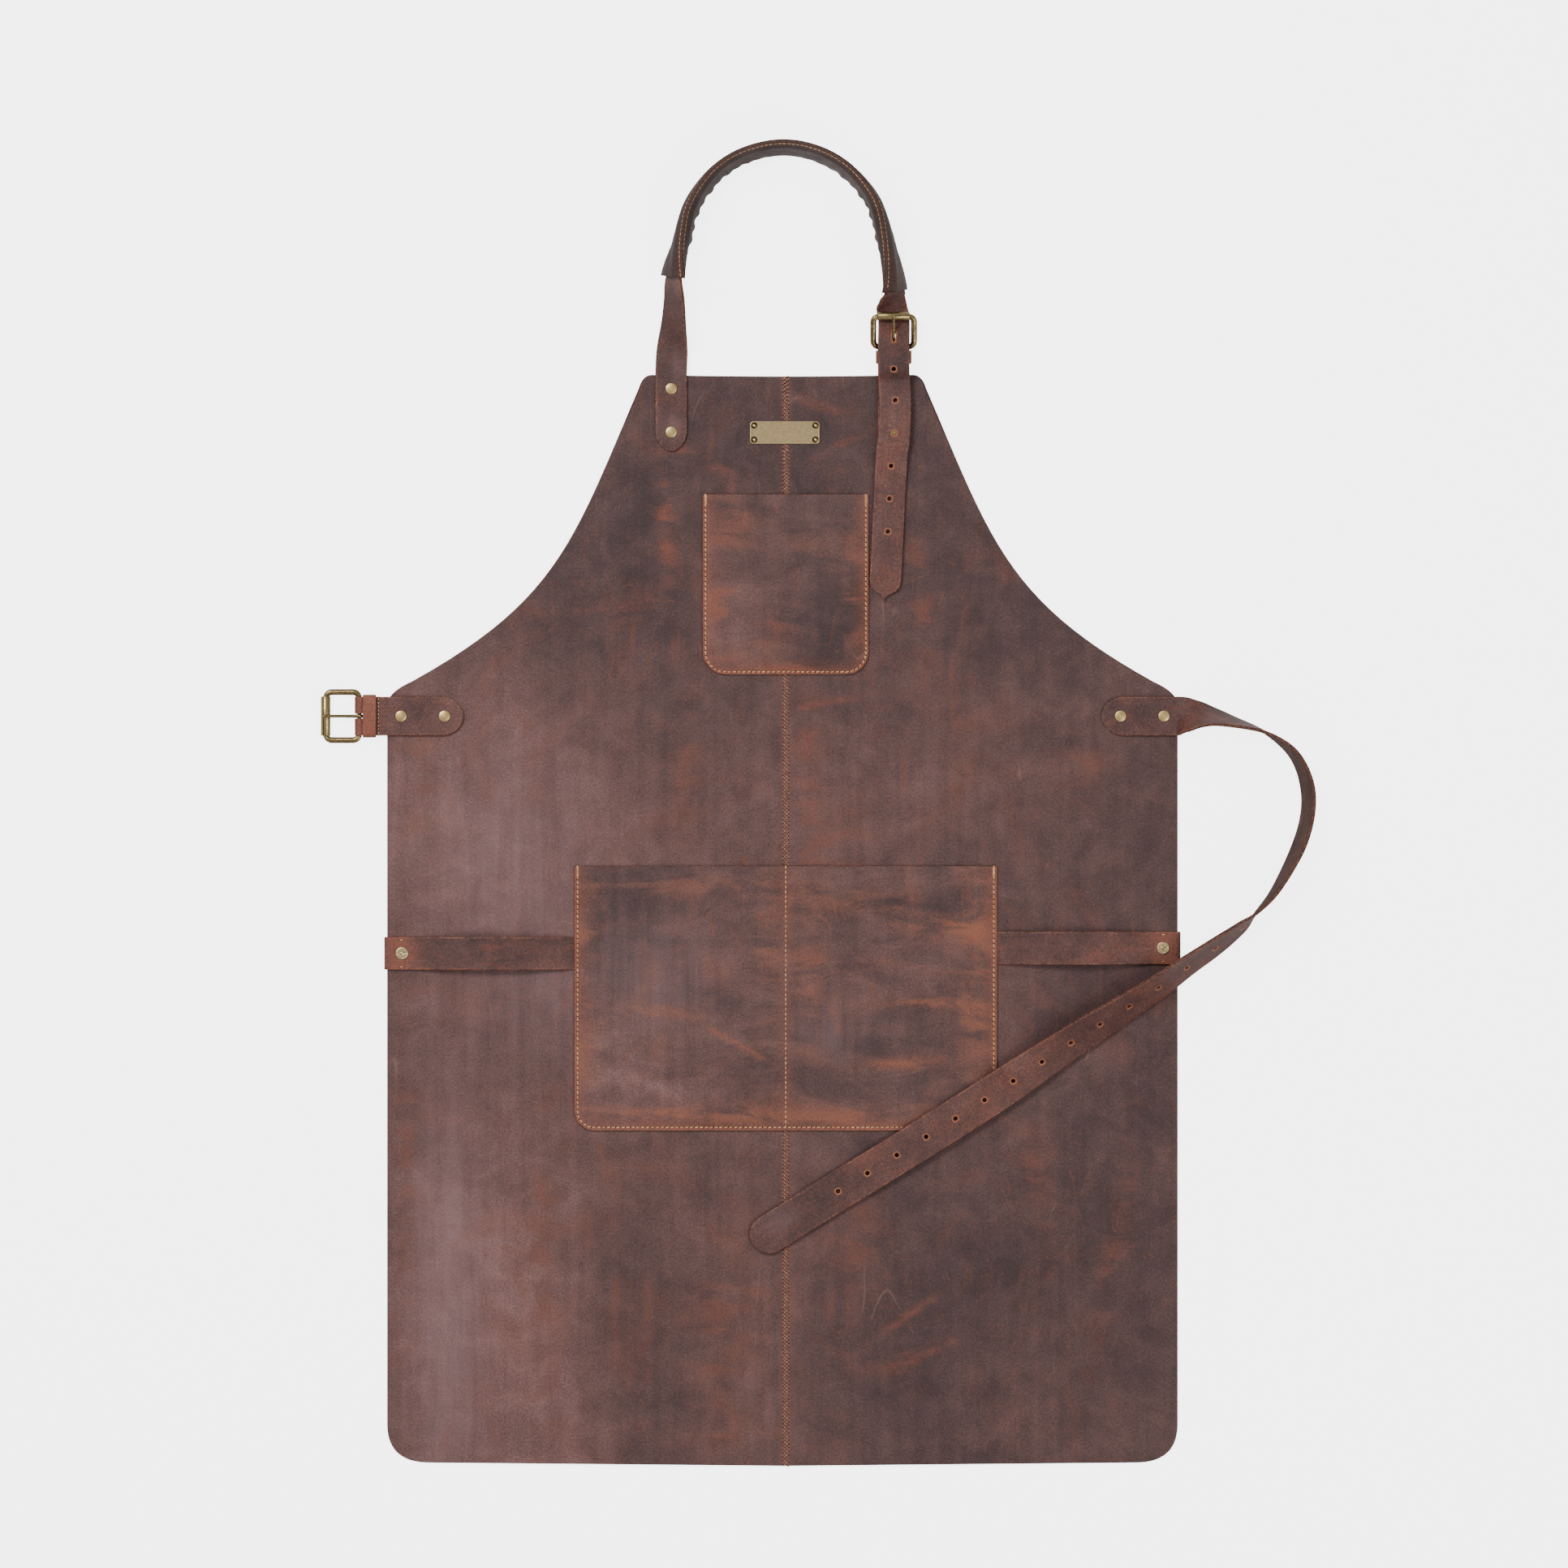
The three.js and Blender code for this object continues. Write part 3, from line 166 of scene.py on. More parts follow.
class Shader(Graph):
    """One material and its node tree."""

    def __init__(self, name):
        self.material = bpy.data.materials.new(name)
        self.material.use_nodes = True
        super().__init__(self.material.node_tree)
        self.tree.nodes.clear()

    def vector(self, operation, a, b):
        made = self.tree.nodes.new("ShaderNodeVectorMath")
        made.operation = operation
        self.plug(made.inputs[0], a)
        self.plug(made.inputs[1], b)
        return made.outputs[1 if operation in ("LENGTH", "DOT_PRODUCT", "DISTANCE") else 0]

    def mix(self, share, a, b):
        made = self.tree.nodes.new("ShaderNodeMix")
        made.data_type = "RGBA"
        self.plug(made.inputs[0], share)
        self.plug(made.inputs[6], linear(a) if isinstance(a, str) else a)
        self.plug(made.inputs[7], linear(b) if isinstance(b, str) else b)
        return made.outputs[2]

    def noise(self, where, scale, detail=2.0, roughness=0.5, distortion=0.0):
        made = self.node("ShaderNodeTexNoise", Vector=where, Scale=scale, Detail=detail)
        self.plug(made.inputs["Roughness"], roughness)
        self.plug(made.inputs["Distortion"], distortion)
        return made.outputs[0]

    def stretch(self, where, x, y, z=1.0):
        return self.vector("MULTIPLY", where, (x, y, z))

    def spread(self, value, low, high, to_low=0.0, to_high=1.0):
        made = self.node("ShaderNodeMapRange", {"interpolation_type": "SMOOTHSTEP"}, Value=value)
        for key, number in zip(("From Min", "From Max", "To Min", "To Max"), (low, high, to_low, to_high)):
            self.plug(made.inputs[key], number)
        return made.outputs[0]

    def ramp(self, value, stops):
        made = self.node("ShaderNodeValToRGB", Fac=value)
        band = made.color_ramp
        while len(band.elements) < len(stops):
            band.elements.new(0.5)
        for element, (place, colour) in zip(band.elements, stops):
            element.position, element.color = place, linear(colour)
        return made.outputs[0]

    def attribute(self, name, vector=False):
        made = self.node("ShaderNodeAttribute", {"attribute_name": name})
        return made.outputs["Vector" if vector else "Fac"]

    def blob(self, where, x, y, wide, tall, turn=0.0):
        """1 at a place given in millimetres, falling off over `wide` and `tall`, turned by `turn` degrees."""
        c, d = math.cos(math.radians(turn)), math.sin(math.radians(turn))
        away = self.vector("SUBTRACT", where, (x * MM, y * MM, 0))
        along = self.vector("DOT_PRODUCT", away, (c / (wide * MM), d / (wide * MM), 0))
        across = self.vector("DOT_PRODUCT", away, (-d / (tall * MM), c / (tall * MM), 0))
        square = self.math("ADD", self.times(along, along), self.times(across, across))
        return self.math("POWER", NEARLY_E, self.times(square, -1.0))

    def finish(self, height=None, strength=1.0, reach=0.0001, **values):
        skin = self.node("ShaderNodeBsdfPrincipled")
        for key, value in values.items():
            self.plug(skin.inputs[key.replace("_", " ")], value)
        if height is not None:
            bump = self.node("ShaderNodeBump", Height=height, Strength=strength, Distance=reach)
            self.plug(skin.inputs["Normal"], bump.outputs[0])
        output = self.node("ShaderNodeOutputMaterial")
        self.plug(output.inputs[0], skin.outputs[0])
        return self.material


# %% [markdown]
# ## Leather
# Oiled pull-up cowhide. Wax in the hide moves when it bends, so the colour breaks into clouds: plum where
# the wax has gone, orange-brown where it has been pushed up, pale on rubbed edges. Each leather mesh carries
# six attributes: `lay` runs along the piece, `wear` is 1 on a rubbed edge, `cut` on a cut edge, `flesh` on
# the suede back, `rim` round a punched hole, and `glow` beside a seam.


# %% Leather material
def leather(name, stops, warm="#7d4433", warmth=0.6, edge="#8a563f", lift=0.0, banding=0.0, seed=0.0,
            patches=(), embers=(), painted_sheens=()):
    """Pull-up leather. `patches` shift the tone, `embers` warm it and the sheen list paints a grey-violet sheen
    on it; each is a place (x, y), a width and a height in mm and an amount, and an ember may have a turn in
    degrees."""
    s = Shader(name)
    here = s.vector("ADD", s.attribute("lay", vector=True), (seed * 1.37, seed * 0.71, seed))
    place = s.node("ShaderNodeTexCoord").outputs["Object"]

    # Scales are features per metre: clouds 150 mm wide, mottle 24 mm, skin 1.6 mm, pores half a millimetre
    clouds = s.noise(here, 6.5, 3, 0.55, 0.6)
    mottle = s.noise(here, 42, 7, 0.66, 0.5)
    fine = s.noise(here, 620, 5, 0.7)
    grain = s.noise(here, 1900, 2, 0.6)
    streak = s.noise(s.stretch(here, 110, 6, 1), 1.0, 5, 0.6, 0.3)

    bands = s.noise(s.stretch(here, 0.5, 1.6, 1.0), 30, 6, 0.66, 0.8)

    # Tone, from dark at 0 to rubbed pale at 1
    tone = 0.5 + lift
    for part, amount in ((clouds, 0.36), (mottle, 0.33), (fine, 0.60), (grain, 0.55), (streak, 0.16),
                         (bands, banding)):
        tone = s.lean(tone, part, amount)
    for x, y, wide, tall, amount in patches:
        tone = s.plus(tone, s.blob(place, x, y, wide, tall), amount)
    colour = s.ramp(tone, stops)
    for x, y, wide, tall, amount in painted_sheens:  # painted sheen: a grey-violet highlight, broken into streaks
        sheen_streaks = s.spread(streak, 0.3, 0.7, amount * 0.4, amount)
        sheen_share = s.times(s.blob(place, x, y, wide, tall), sheen_streaks)
        colour = s.mix(sheen_share, colour, "#83696b")

    # Wax pushed up: rust flames with frayed edges, and creases as fine as fibres
    flame = s.spread(s.noise(s.stretch(here, 1.0, 0.6, 1.0), 17, 8, 0.68, 1.8), 0.50, 0.68)
    flame = s.times(flame, s.spread(streak, 0.3, 0.65, 0.4, 1.0))
    fold = s.math("ABSOLUTE", s.math("SUBTRACT", s.noise(s.stretch(here, 1.0, 0.5, 1.0), 24, 4, 0.62, 2.2), 0.5))
    crease = s.times(s.spread(fold, 0.0, 0.020, 1.0, 0.0), s.spread(bands, 0.46, 0.60))
    heat = s.times(s.math("MAXIMUM", flame, s.times(crease, 0.9)), warmth)
    ragged = s.spread(bands, 0.42, 0.62, 0.05, 1.25)
    for x, y, wide, tall, amount, *turn in embers:
        heat = s.plus(heat, s.times(s.blob(place, x, y, wide, tall, *turn), amount), ragged)
    pores = s.plus(s.times(fine, 0.5), grain, 0.5)
    heat = s.times(heat, s.spread(pores, 0.38, 0.60, 0.30, 1.0), clamp=True)
    colour = s.mix(heat, colour, warm)
    glow = s.times(s.attribute("glow"), s.spread(pores, 0.36, 0.62, 0.25, 0.9))
    colour = s.mix(glow, colour, "#98543a")

    # Long thin scratches through the wax
    drawn = s.noise(s.stretch(here, 1.0, 0.25, 1.0), 13, 1.0, 0.5, 0.6)
    ridge = s.math("ABSOLUTE", s.math("SUBTRACT", drawn, 0.5))
    gate = s.spread(s.noise(here, 21, 2), 0.58, 0.66)
    scratch = s.times(s.spread(ridge, 0.0, 0.0035, 1.0, 0.0), gate)
    colour = s.mix(s.times(scratch, 0.30), colour, "#8f6a5c")

    # Rubbed edges, punched holes, cut edges and the suede back
    rub = s.times(s.math("POWER", s.attribute("wear"), 4.0), s.spread(fine, 0.38, 0.62, 0.0, 1.0))
    rub = s.times(rub, s.spread(mottle, 0.40, 0.62, 0.15, 0.75))
    colour = s.mix(rub, colour, edge)
    colour = s.mix(s.times(s.attribute("rim"), 0.9), colour, "#b9714a")
    cut = s.attribute("cut")
    colour = s.mix(s.times(cut, 0.85), colour, s.mix(s.spread(fine, 0.35, 0.65), "#2f1b16", "#754836"))
    flesh = s.spread(s.attribute("flesh"), 0.35, 0.65)
    suede = s.ramp(s.plus(s.times(mottle, 0.5), grain, 0.5),
                   [(0.35, "#35211d"), (0.5, "#4b3029"), (0.65, "#64453b")])
    colour = s.mix(flesh, colour, suede)

    # The relief: pebbled grain under a satin wax, duller on cut edges and on the suede
    pebbles = s.node("ShaderNodeTexVoronoi", Vector=here, Scale=1100.0).outputs["Distance"]
    height = s.times(pebbles, 0.3)
    for part, amount in ((grain, 0.7), (fine, 1.5), (mottle, 1.6)):
        height = s.plus(height, part, amount)
    height = s.math("SUBTRACT", height, s.times(s.math("MAXIMUM", scratch, crease), 0.5))
    shine = s.spread(mottle, 0.25, 0.75, 0.58, 0.42)
    rough = s.math("ADD", shine, s.times(s.math("ADD", flesh, cut), 0.3), clamp=True)
    return s.finish(height, 0.6, 0.0004, Base_Color=colour, Roughness=rough, Specular_IOR_Level=0.36)


# Tones from the hide's darkest clouds to its rubbed high spots
HIDE_TONES = [(0.24, "#2c1d1d"), (0.38, "#412b2a"), (0.50, "#553935"), (0.62, "#6a4845"), (0.80, "#8b6763")]
STRAP_TONES = [(0.24, "#2e1c1a"), (0.38, "#422926"), (0.50, "#573631"), (0.62, "#6c463e"), (0.80, "#8f685d")]
SLEEVE_TONES = [(0.24, "#22140f"), (0.38, "#301f1a"), (0.50, "#3f2a24"), (0.62, "#503730"), (0.80, "#704f45")]

# Lighter lower left, partly painted sheen and partly tone, with a narrow band of painted sheen at x -262;
# darker bib and darker lower right, as the two hides differ
BODY_TONE_AND_SHEEN_PATCHES = [
    (-235, -280, 100, 190, 0.13), (-220, 50, 90, 120, 0.09), (0, 330, 190, 150, -0.13),
    (-20, 90, 120, 60, 0.03), (230, -300, 130, 190, -0.12), (285, -60, 60, 200, -0.07),
    (90, -290, 80, 150, -0.08), (180, 240, 90, 90, -0.08), (-130, 250, 60, 70, -0.04),
    (-110, -320, 35, 120, -0.06), (-30, -300, 50, 110, 0.05), (-262, -300, 18, 120, 0.06),
]
BODY_EMBERS = [
    (-88, 300, 7, 45, 0.7, 4), (-64, 350, 32, 7, 0.6, -25), (42, 385, 34, 4, 0.6, -20),
    (60, 368, 30, 3, 0.6, 25), (105, 250, 8, 55, 0.6, 8), (-120, 235, 35, 12, 0.45, 20),
    (20, 90, 10, 90, 0.6), (48, 60, 26, 30, 0.4), (-70, 120, 10, 60, 0.4, -5), (-270, 120, 12, 40, 0.4),
    (230, 110, 25, 22, 0.45, 15), (150, 150, 30, 18, 0.4, -15), (-40, -300, 26, 80, 0.45, -8),
    (110, -330, 60, 10, 0.5, 12), (60, -250, 20, 40, 0.4), (-180, -230, 8, 90, 0.4),
    (190, -180, 10, 60, 0.45, 10), (-285, -180, 6, 90, 0.5), (250, -260, 10, 60, 0.4, -10),
    (-120, -190, 40, 9, 0.4), (35, 165, 30, 3, 0.6, 10), (-30, 55, 3, 26, 0.6, 12),
    (95, -300, 26, 3, 0.7, 35), (-20, -395, 60, 6, 0.35),
]
# The body's hide: broad plum and brown clouds with a soft sheen, so that the eye reads one large oiled skin
hide_leather = leather("oiled_pull_up_hide", HIDE_TONES, patches=BODY_TONE_AND_SHEEN_PATCHES, embers=BODY_EMBERS, warmth=0.42,
                       # grey-violet painted sheen on the lower left and on the left of the body
                       painted_sheens=[(-255, -290, 26, 130, 0.55), (-215, 60, 60, 60, 0.35), (-190, -40, 60, 60, 0.3)])
# The chest pocket's hide: warm at the left and nearly black at the lower right, which sets it off the bib
chest_leather = leather("pocket_hide_chest", HIDE_TONES, warm="#864a36", warmth=0.4, lift=-0.05, seed=3.0,
                        banding=0.25, patches=[(-35, 240, 42, 80, 0.07), (45, 225, 42, 50, -0.12)],
                        embers=[(-48, 240, 14, 50, 0.7), (-40, 300, 22, 20, 0.45), (54, 255, 7, 45, 0.7),
                                (-15, 215, 30, 12, 0.55, 20), (20, 192, 50, 6, 0.6), (10, 285, 25, 8, 0.35, 15)])
# The lower pocket's hide: level bands of rust and a long scratch, the brightest leather in the picture
lower_leather = leather("pocket_hide_lower", HIDE_TONES, warm="#8e523b", warmth=0.4, lift=0.0, seed=5.0,
                        banding=0.34,
                        patches=[(-120, -120, 70, 60, 0.12), (75, -90, 60, 40, -0.10), (90, 8, 70, 16, -0.07),
                                 (-110, 15, 50, 20, -0.04), (-30, -60, 30, 60, 0.03)],
                        embers=[(148, -40, 12, 80, 0.85), (125, -5, 30, 9, 0.8), (110, -62, 40, 6, 0.8, 4),
                                (70, -34, 50, 5, 0.7, -4), (95, -108, 26, 5, 0.8), (60, -150, 80, 10, 0.7),
                                (20, -60, 10, 60, 0.5), (-148, -60, 10, 80, 0.6), (-80, -148, 80, 8, 0.7),
                                (-60, 25, 60, 8, 0.4), (-12, -30, 8, 60, 0.4), (-100, -70, 40, 6, 0.4),
                                (-36, -93, 36, 2.4, 0.75, -29), (-82, -22, 5, 9, 0.8), (60, 15, 40, 8, 0.5)],
                        # two patches of grey-violet painted sheen on the pocket
                        painted_sheens=[(-100, -40, 45, 40, 0.3), (40, -85, 30, 20, 0.25)])
# Strap leather: denser and redder than the hide, with bright rubbed edges that draw each strap's outline
strap_leather = leather("strap_leather", STRAP_TONES, warm="#86452f", warmth=0.6, edge="#a5684a", seed=8.0,
                        patches=[(-85, 440, 30, 90, -0.09), (88, 432, 16, 24, -0.24), (-278, 165, 20, 20, -0.08),
                                 (272, 165, 34, 22, -0.10), (-205, -15, 62, 16, -0.12), (205, -12, 50, 16, -0.04),
                                 (155, -90, 34, 26, 0.10), (-5, -228, 34, 24, -0.05), (88, 300, 16, 20, 0.06)],
                        embers=[(148, -92, 26, 14, 0.6, 33), (60, -158, 20, 10, 0.5, 33), (88, 262, 14, 8, 0.5)],
                        # painted highlights: grey-violet sheen on the neck strap's left part, on the waist strap
                        # and near its tip
                        painted_sheens=[(-78, 424, 6, 14, 0.55), (-84, 375, 9, 8, 0.4), (170, -85, 18, 7, 0.35),
                                (-5, -226, 16, 10, 0.3)])
# The sleeve's thinner leather: the darkest brown, so that the arch stands out against the floor
sleeve_leather = leather("sleeve_leather", SLEEVE_TONES, warm="#5c3023", warmth=0.35, edge="#4f2f25", seed=12.0,
                         lift=-0.08)


# %% [markdown]
# ## Thread and metal
# Waxed linen thread is a matt tan with darker dirt in its twist. The hardware is antique brass: a dark
# tumbled finish that handling has rubbed back to bright metal on every raised edge.


# %% Thread and metal materials
def waxed_thread(name, pale, dark):
    s = Shader(name)
    place = s.node("ShaderNodeTexCoord").outputs["Object"]
    dirt = s.noise(place, 420, 3, 0.6)
    colour = s.mix(s.spread(dirt, 0.35, 0.7), dark, pale)
    return s.finish(s.noise(place, 4000, 1), 0.4, 0.0001, Base_Color=colour, Roughness=0.75)


def needle_hole_shade(name):
    # near black: painted shade inside a needle hole
    return Shader(name).finish(Base_Color=linear("#120a08"), Roughness=0.95)


def brass(name, dark, mid, bright, rough=0.34, speck=0.3, brushed=0.0):
    """Brass with patina: `speck` is the share of fine specks, `brushed` the depth of lines along X."""
    s = Shader(name)
    place = s.node("ShaderNodeTexCoord").outputs["Object"]
    patina = s.noise(place, 420, 6, 0.7, 0.4)
    specks = s.noise(place, 2600, 2, 0.6)
    rubbed = s.spread(s.node("ShaderNodeNewGeometry").outputs["Pointiness"], 0.50, 0.57)
    value = s.plus(s.times(patina, 1 - speck), specks, speck)
    colour = s.ramp(value, [(0.38, dark), (0.50, mid), (0.64, bright)])
    colour = s.mix(s.times(rubbed, 0.55), colour, bright)
    lines = s.noise(s.stretch(place, 60, 5200, 60), 1.0, 2, 0.5)
    height = s.plus(s.times(specks, 0.4), lines, brushed)
    shine = s.spread(value, 0.38, 0.62, rough + 0.12, rough - 0.06)
    return s.finish(height, 0.35, 0.00006, Base_Color=colour, Roughness=shine, Metallic=1.0)


# Pale waxed thread: a bright dotted line round both pockets
tan_thread = waxed_thread("waxed_thread_tan", "#f0b98c", "#b87a4d")
# The seam's thread, stained by the hide: a quiet ladder down the middle
rust_thread = waxed_thread("waxed_thread_rust", "#ac7d69", "#765145")
# Needle holes: near-black discs of painted shade, so that each stitch reads as sunk
painted_hole_shade = needle_hole_shade("needle_hole_shade")
# Antique brass of the buckles: dark in the hollows, rubbed bright on the outside of every bend
antique_brass = brass("antique_brass", "#44372a", "#71603f", "#c4aa78", rough=0.28)
# Polished brass of the rivet caps: small warm points of light
pale_brass = brass("pale_brass", "#a98b58", "#c4a670", "#e2c990", rough=0.36)
# Duller brass of the screw studs and plate pins
stud_brass = brass("stud_pale_brass", "#96825c", "#bca47a", "#e6d2a8", rough=0.36)
# Brushed and speckled brass of the name plate: a pale, dry rectangle on dark leather
plate_brass = brass("brushed_plate_brass", "#836f4e", "#ad956c", "#dcc498", rough=0.40, speck=0.65, brushed=0.8)
# Eyelet rings: dark circles of painted shade that make the pins look sunk
painted_eyelet_shade = brass("eyelet_painted_shade", "#2a2018", "#40331f", "#6b5738", rough=0.45)
print("materials:", ", ".join(m.name for m in bpy.data.materials))


# %% [markdown]
# ## Meshes from arrays
# Every leather piece is built from points. `make_mesh` puts the mesh in the scene, names its piece, and
# stores the attributes that the materials read.


# %% Mesh helper
LEATHER_ATTRIBUTES = ("wear", "cut", "flesh", "rim", "glow")


def make_mesh(name, points, faces, material, body="apron", lay=None, sharp=None, **attributes):
    """A piece of `body` from points in mm; unused points are dropped. `sharp` is an angle in degrees."""
    points = np.asarray(points, float)
    used = np.unique(np.concatenate([np.asarray(f) for f in faces]))
    renumber = np.full(len(points), -1)
    renumber[used] = np.arange(len(used))
    mesh = bpy.data.meshes.new(name)
    mesh.from_pydata((points[used] * MM).tolist(), [], [renumber[list(f)].tolist() for f in faces])
    mesh.polygons.foreach_set("use_smooth", [True] * len(mesh.polygons))
    if lay is not None:
        stored = mesh.attributes.new("lay", "FLOAT_VECTOR", "POINT")
        stored.data.foreach_set("vector", (np.asarray(lay, float)[used] * MM).astype(np.float32).ravel())
        for key in LEATHER_ATTRIBUTES:
            values = np.asarray(attributes.get(key, np.zeros(len(points))), float)[used]
            stored = mesh.attributes.new(key, "FLOAT", "POINT")
            stored.data.foreach_set("value", values.astype(np.float32))
    if sharp is not None:
        mesh.set_sharp_from_angle(angle=math.radians(sharp))
    mesh.materials.append(material)
    made = bpy.data.objects.new(name, mesh)
    bpy.context.scene.collection.objects.link(made)
    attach(made, body)
    return made


def grid_faces(rows, columns, start=0):
    """Quads of a grid of points, row by row, facing up when rows run along +Y and columns along +X."""
    return [
        (start + i * columns + j, start + i * columns + j + 1,
         start + (i + 1) * columns + j + 1, start + (i + 1) * columns + j)
        for i in range(rows - 1) for j in range(columns - 1)
    ]


def band(first, second):
    """Quads between two closed rings of point numbers."""
    count = len(first)
    return [(first[k], first[(k + 1) % count], second[(k + 1) % count], second[k]) for k in range(count)]


def barrel(rings, sides):
    """Quads along a closed bar made of equal rings, with a cap on both ends."""
    numbers = [range(i * sides, (i + 1) * sides) for i in range(rings)]
    faces = [face for pair in zip(numbers, numbers[1:]) for face in band(*pair)]
    return faces + [tuple(reversed(numbers[0])), tuple(numbers[-1])]


def hide_slab(name, plan, bottom, top, material, glow, round_off=0.45, offset=0.0):
    """A sheet from a grid of plan points: grain side on top, suede below, rounded cut edges all round."""
    rows, columns = plan.shape[:2]
    around = [(0, j) for j in range(columns)] + [(i, columns - 1) for i in range(1, rows)]
    around += [(rows - 1, j) for j in range(columns - 2, -1, -1)] + [(i, 0) for i in range(rows - 2, 0, -1)]
    rim = np.array([plan[i, j] for i, j in around])
    ahead = np.roll(rim, -1, 0) - np.roll(rim, 1, 0)
    outward = np.stack([ahead[:, 1], -ahead[:, 0]], 1)
    outward /= np.linalg.norm(outward, axis=1)[:, None] + 1e-9
    inner = plan.copy()
    for (i, j), out in zip(around, outward):
        inner[i, j] = plan[i, j] - out * round_off
    flat = inner.reshape(-1, 2)
    count = rows * columns
    upper = np.column_stack([flat, top(flat[:, 0], flat[:, 1])])
    lower = np.column_stack([flat, bottom(flat[:, 0], flat[:, 1])])
    high = np.column_stack([rim, top(rim[:, 0], rim[:, 1]) - round_off])
    low = np.column_stack([rim, bottom(rim[:, 0], rim[:, 1]) + round_off * 0.6])
    points = np.vstack([upper, lower, high, low])
    faces = grid_faces(rows, columns)
    faces += [tuple(reversed([count + k for k in f])) for f in grid_faces(rows, columns)]
    edge = len(around)
    index = [i * columns + j for i, j in around]
    for k in range(edge):
        n = (k + 1) % edge
        a, b = index[k], index[n]
        h, l = 2 * count, 2 * count + edge
        faces.append((b, a, h + k, h + n))
        faces.append((h + n, h + k, l + k, l + n))
        faces.append((l + n, l + k, count + a, count + b))
    total = len(points)
    flesh, cut, wear = np.zeros(total), np.zeros(total), np.zeros(total)
    flesh[count : 2 * count] = 1
    cut[2 * count :] = 1
    wear[2 * count : 2 * count + edge] = 1
    wear[index] = 1
    lay = np.column_stack([points[:, 0] + offset, points[:, 1] + offset * 0.6, np.full(total, offset)])
    glows = glow(points[:, 0], points[:, 1])
    return make_mesh(name, points, faces, material, lay=lay, flesh=flesh, cut=cut, wear=wear, glow=glows)


def stand_for(made, node, slot, flat=None, **sheet):
    """Hides the CAD part that a piece replaces. Its finish (`slot`) and, for leather, its flat size in mm
    (`flat`) are not used.
    """
    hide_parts(node)
    return made


def grid_area(plan):
    """Area of a grid of plan points, in square metres."""
    a = plan[1:, 1:] - plan[:-1, :-1]
    b = plan[1:, :-1] - plan[:-1, 1:]
    return float(np.abs(a[..., 0] * b[..., 1] - a[..., 1] * b[..., 0]).sum() / 2) * MM * MM


# %% [markdown]
# ## The body
# Two hides meet at the seam. The outline is walked once up the right side, and each point of the walk gives
# one row of the grid, so the rows crowd together where the outline turns.


# %% Body outline and panels
def curve(*controls, count=24):
    """Points of a quadratic or cubic Bezier curve."""
    c = [np.array(p, float) for p in controls]
    t = np.linspace(0, 1, count)[:, None]
    if len(c) == 3:
        return (1 - t) ** 2 * c[0] + 2 * t * (1 - t) * c[1] + t**2 * c[2]
    return (1 - t) ** 3 * c[0] + 3 * t * (1 - t) ** 2 * c[1] + 3 * t**2 * (1 - t) * c[2] + t**3 * c[3]


def walk(points, pace):
    """The same line with points about `pace` apart."""
    step = np.r_[0, np.cumsum(np.linalg.norm(np.diff(points, axis=0), axis=1))]
    count = max(2, int(round(step[-1] / pace)) + 1)
    places = np.linspace(0, step[-1], count)
    return np.column_stack([np.interp(places, step, points[:, k]) for k in range(points.shape[1])])


HEM_Y = -411.5
side_walk = np.vstack([
    walk(curve((268, HEM_Y), (300, HEM_Y), (300, -382)), 1.5),
    walk(np.array([(300, -382.0), (300, 163.0)]), 4.0)[1:],
    walk(curve((300, 163), (300, 173), (282, 181)), 1.5)[1:],
    walk(curve((282, 181), (170, 243), (159, 287.5), (109, 404)), 3.0)[1:],
    walk(curve((109, 404), (106, 414), (99, 414)), 1.2)[1:],
])


def panel_plan(side):
    """Grid of one panel: columns run from left to right, rows from hem to bib."""
    shares = np.r_[0, 1.2 / 300, np.linspace(4 / 300, 1 - 4 / 300, 70), 1 - 1.2 / 300, 1]
    plan = np.zeros((len(side_walk), len(shares), 2))
    for i, (x, y) in enumerate(side_walk):
        row_x = SEAM_X + (side * x - SEAM_X) * shares
        hem = -2.5 * (1 - shares) * (1 - smooth((y - HEM_Y) / 50))
        dish = -1.2 * (1 - shares**2) * smooth((y - 380) / 34)
        plan[i] = np.column_stack([row_x, y + hem + dish])
    return plan if side > 0 else plan[:, ::-1]


def stain(x, y):
    """Rust-stained leather along the seam."""
    return np.exp(-(((x - SEAM_X) / 3.4) ** 4)) * 0.36


def body_grain(x, y):
    """Top of the hide, drawn down into the seam."""
    return BODY_THICK + ground(x, y) - STITCH_GROOVE * np.exp(-(((x - SEAM_X) / 1.6) ** 2))


for side, word, wide, offset in ((-1, "left", EDGE_X + SEAM_X, 0), (1, "right", EDGE_X - SEAM_X, 9000)):
    plan = panel_plan(side)
    panel = hide_slab(f"hide_{word}", plan, ground, body_grain, hide_leather, stain, offset=offset)
    stand_for(panel, f"body_panel_{word}", "hide", (wide, 2 * TOP_Y), held="laid", area=grid_area(plan))
    print("body panel", word, "has", len(panel.data.polygons), "faces")


# %% [markdown]
# ## Pockets
# Each pocket is sewn down on three sides and stands a little proud of the body inside the stitching, so its
# mouth is open. The stitch line pulls a groove into the leather.


# %% Pockets
def steps_in(width, pace):
    """Distances from one edge to the other: close together near both edges."""
    near = [0, 0.5, 1.2, 1.8, 2.4, 3.0, 4.0, 5.5, 8.0, 11.0]
    middle = list(np.linspace(14, width - 14, max(2, int((width - 28) / pace) + 1)))
    return np.array(near + middle + [width - n for n in reversed(near)])


def pocket_edge(pocket, x, y):
    """Distance to the nearest sewn edge of a pocket."""
    x0, x1, y0 = pocket["x0"], pocket["x1"], pocket["y0"]
    corner = np.where(x < SEAM_X, *pocket["corners"])
    dx = np.minimum(x - x0, x1 - x)
    dy = y - y0
    turn = corner - np.hypot(np.maximum(corner - dx, 0), np.maximum(corner - dy, 0))
    return np.where((dx < corner) & (dy < corner), turn, np.minimum(dx, dy))


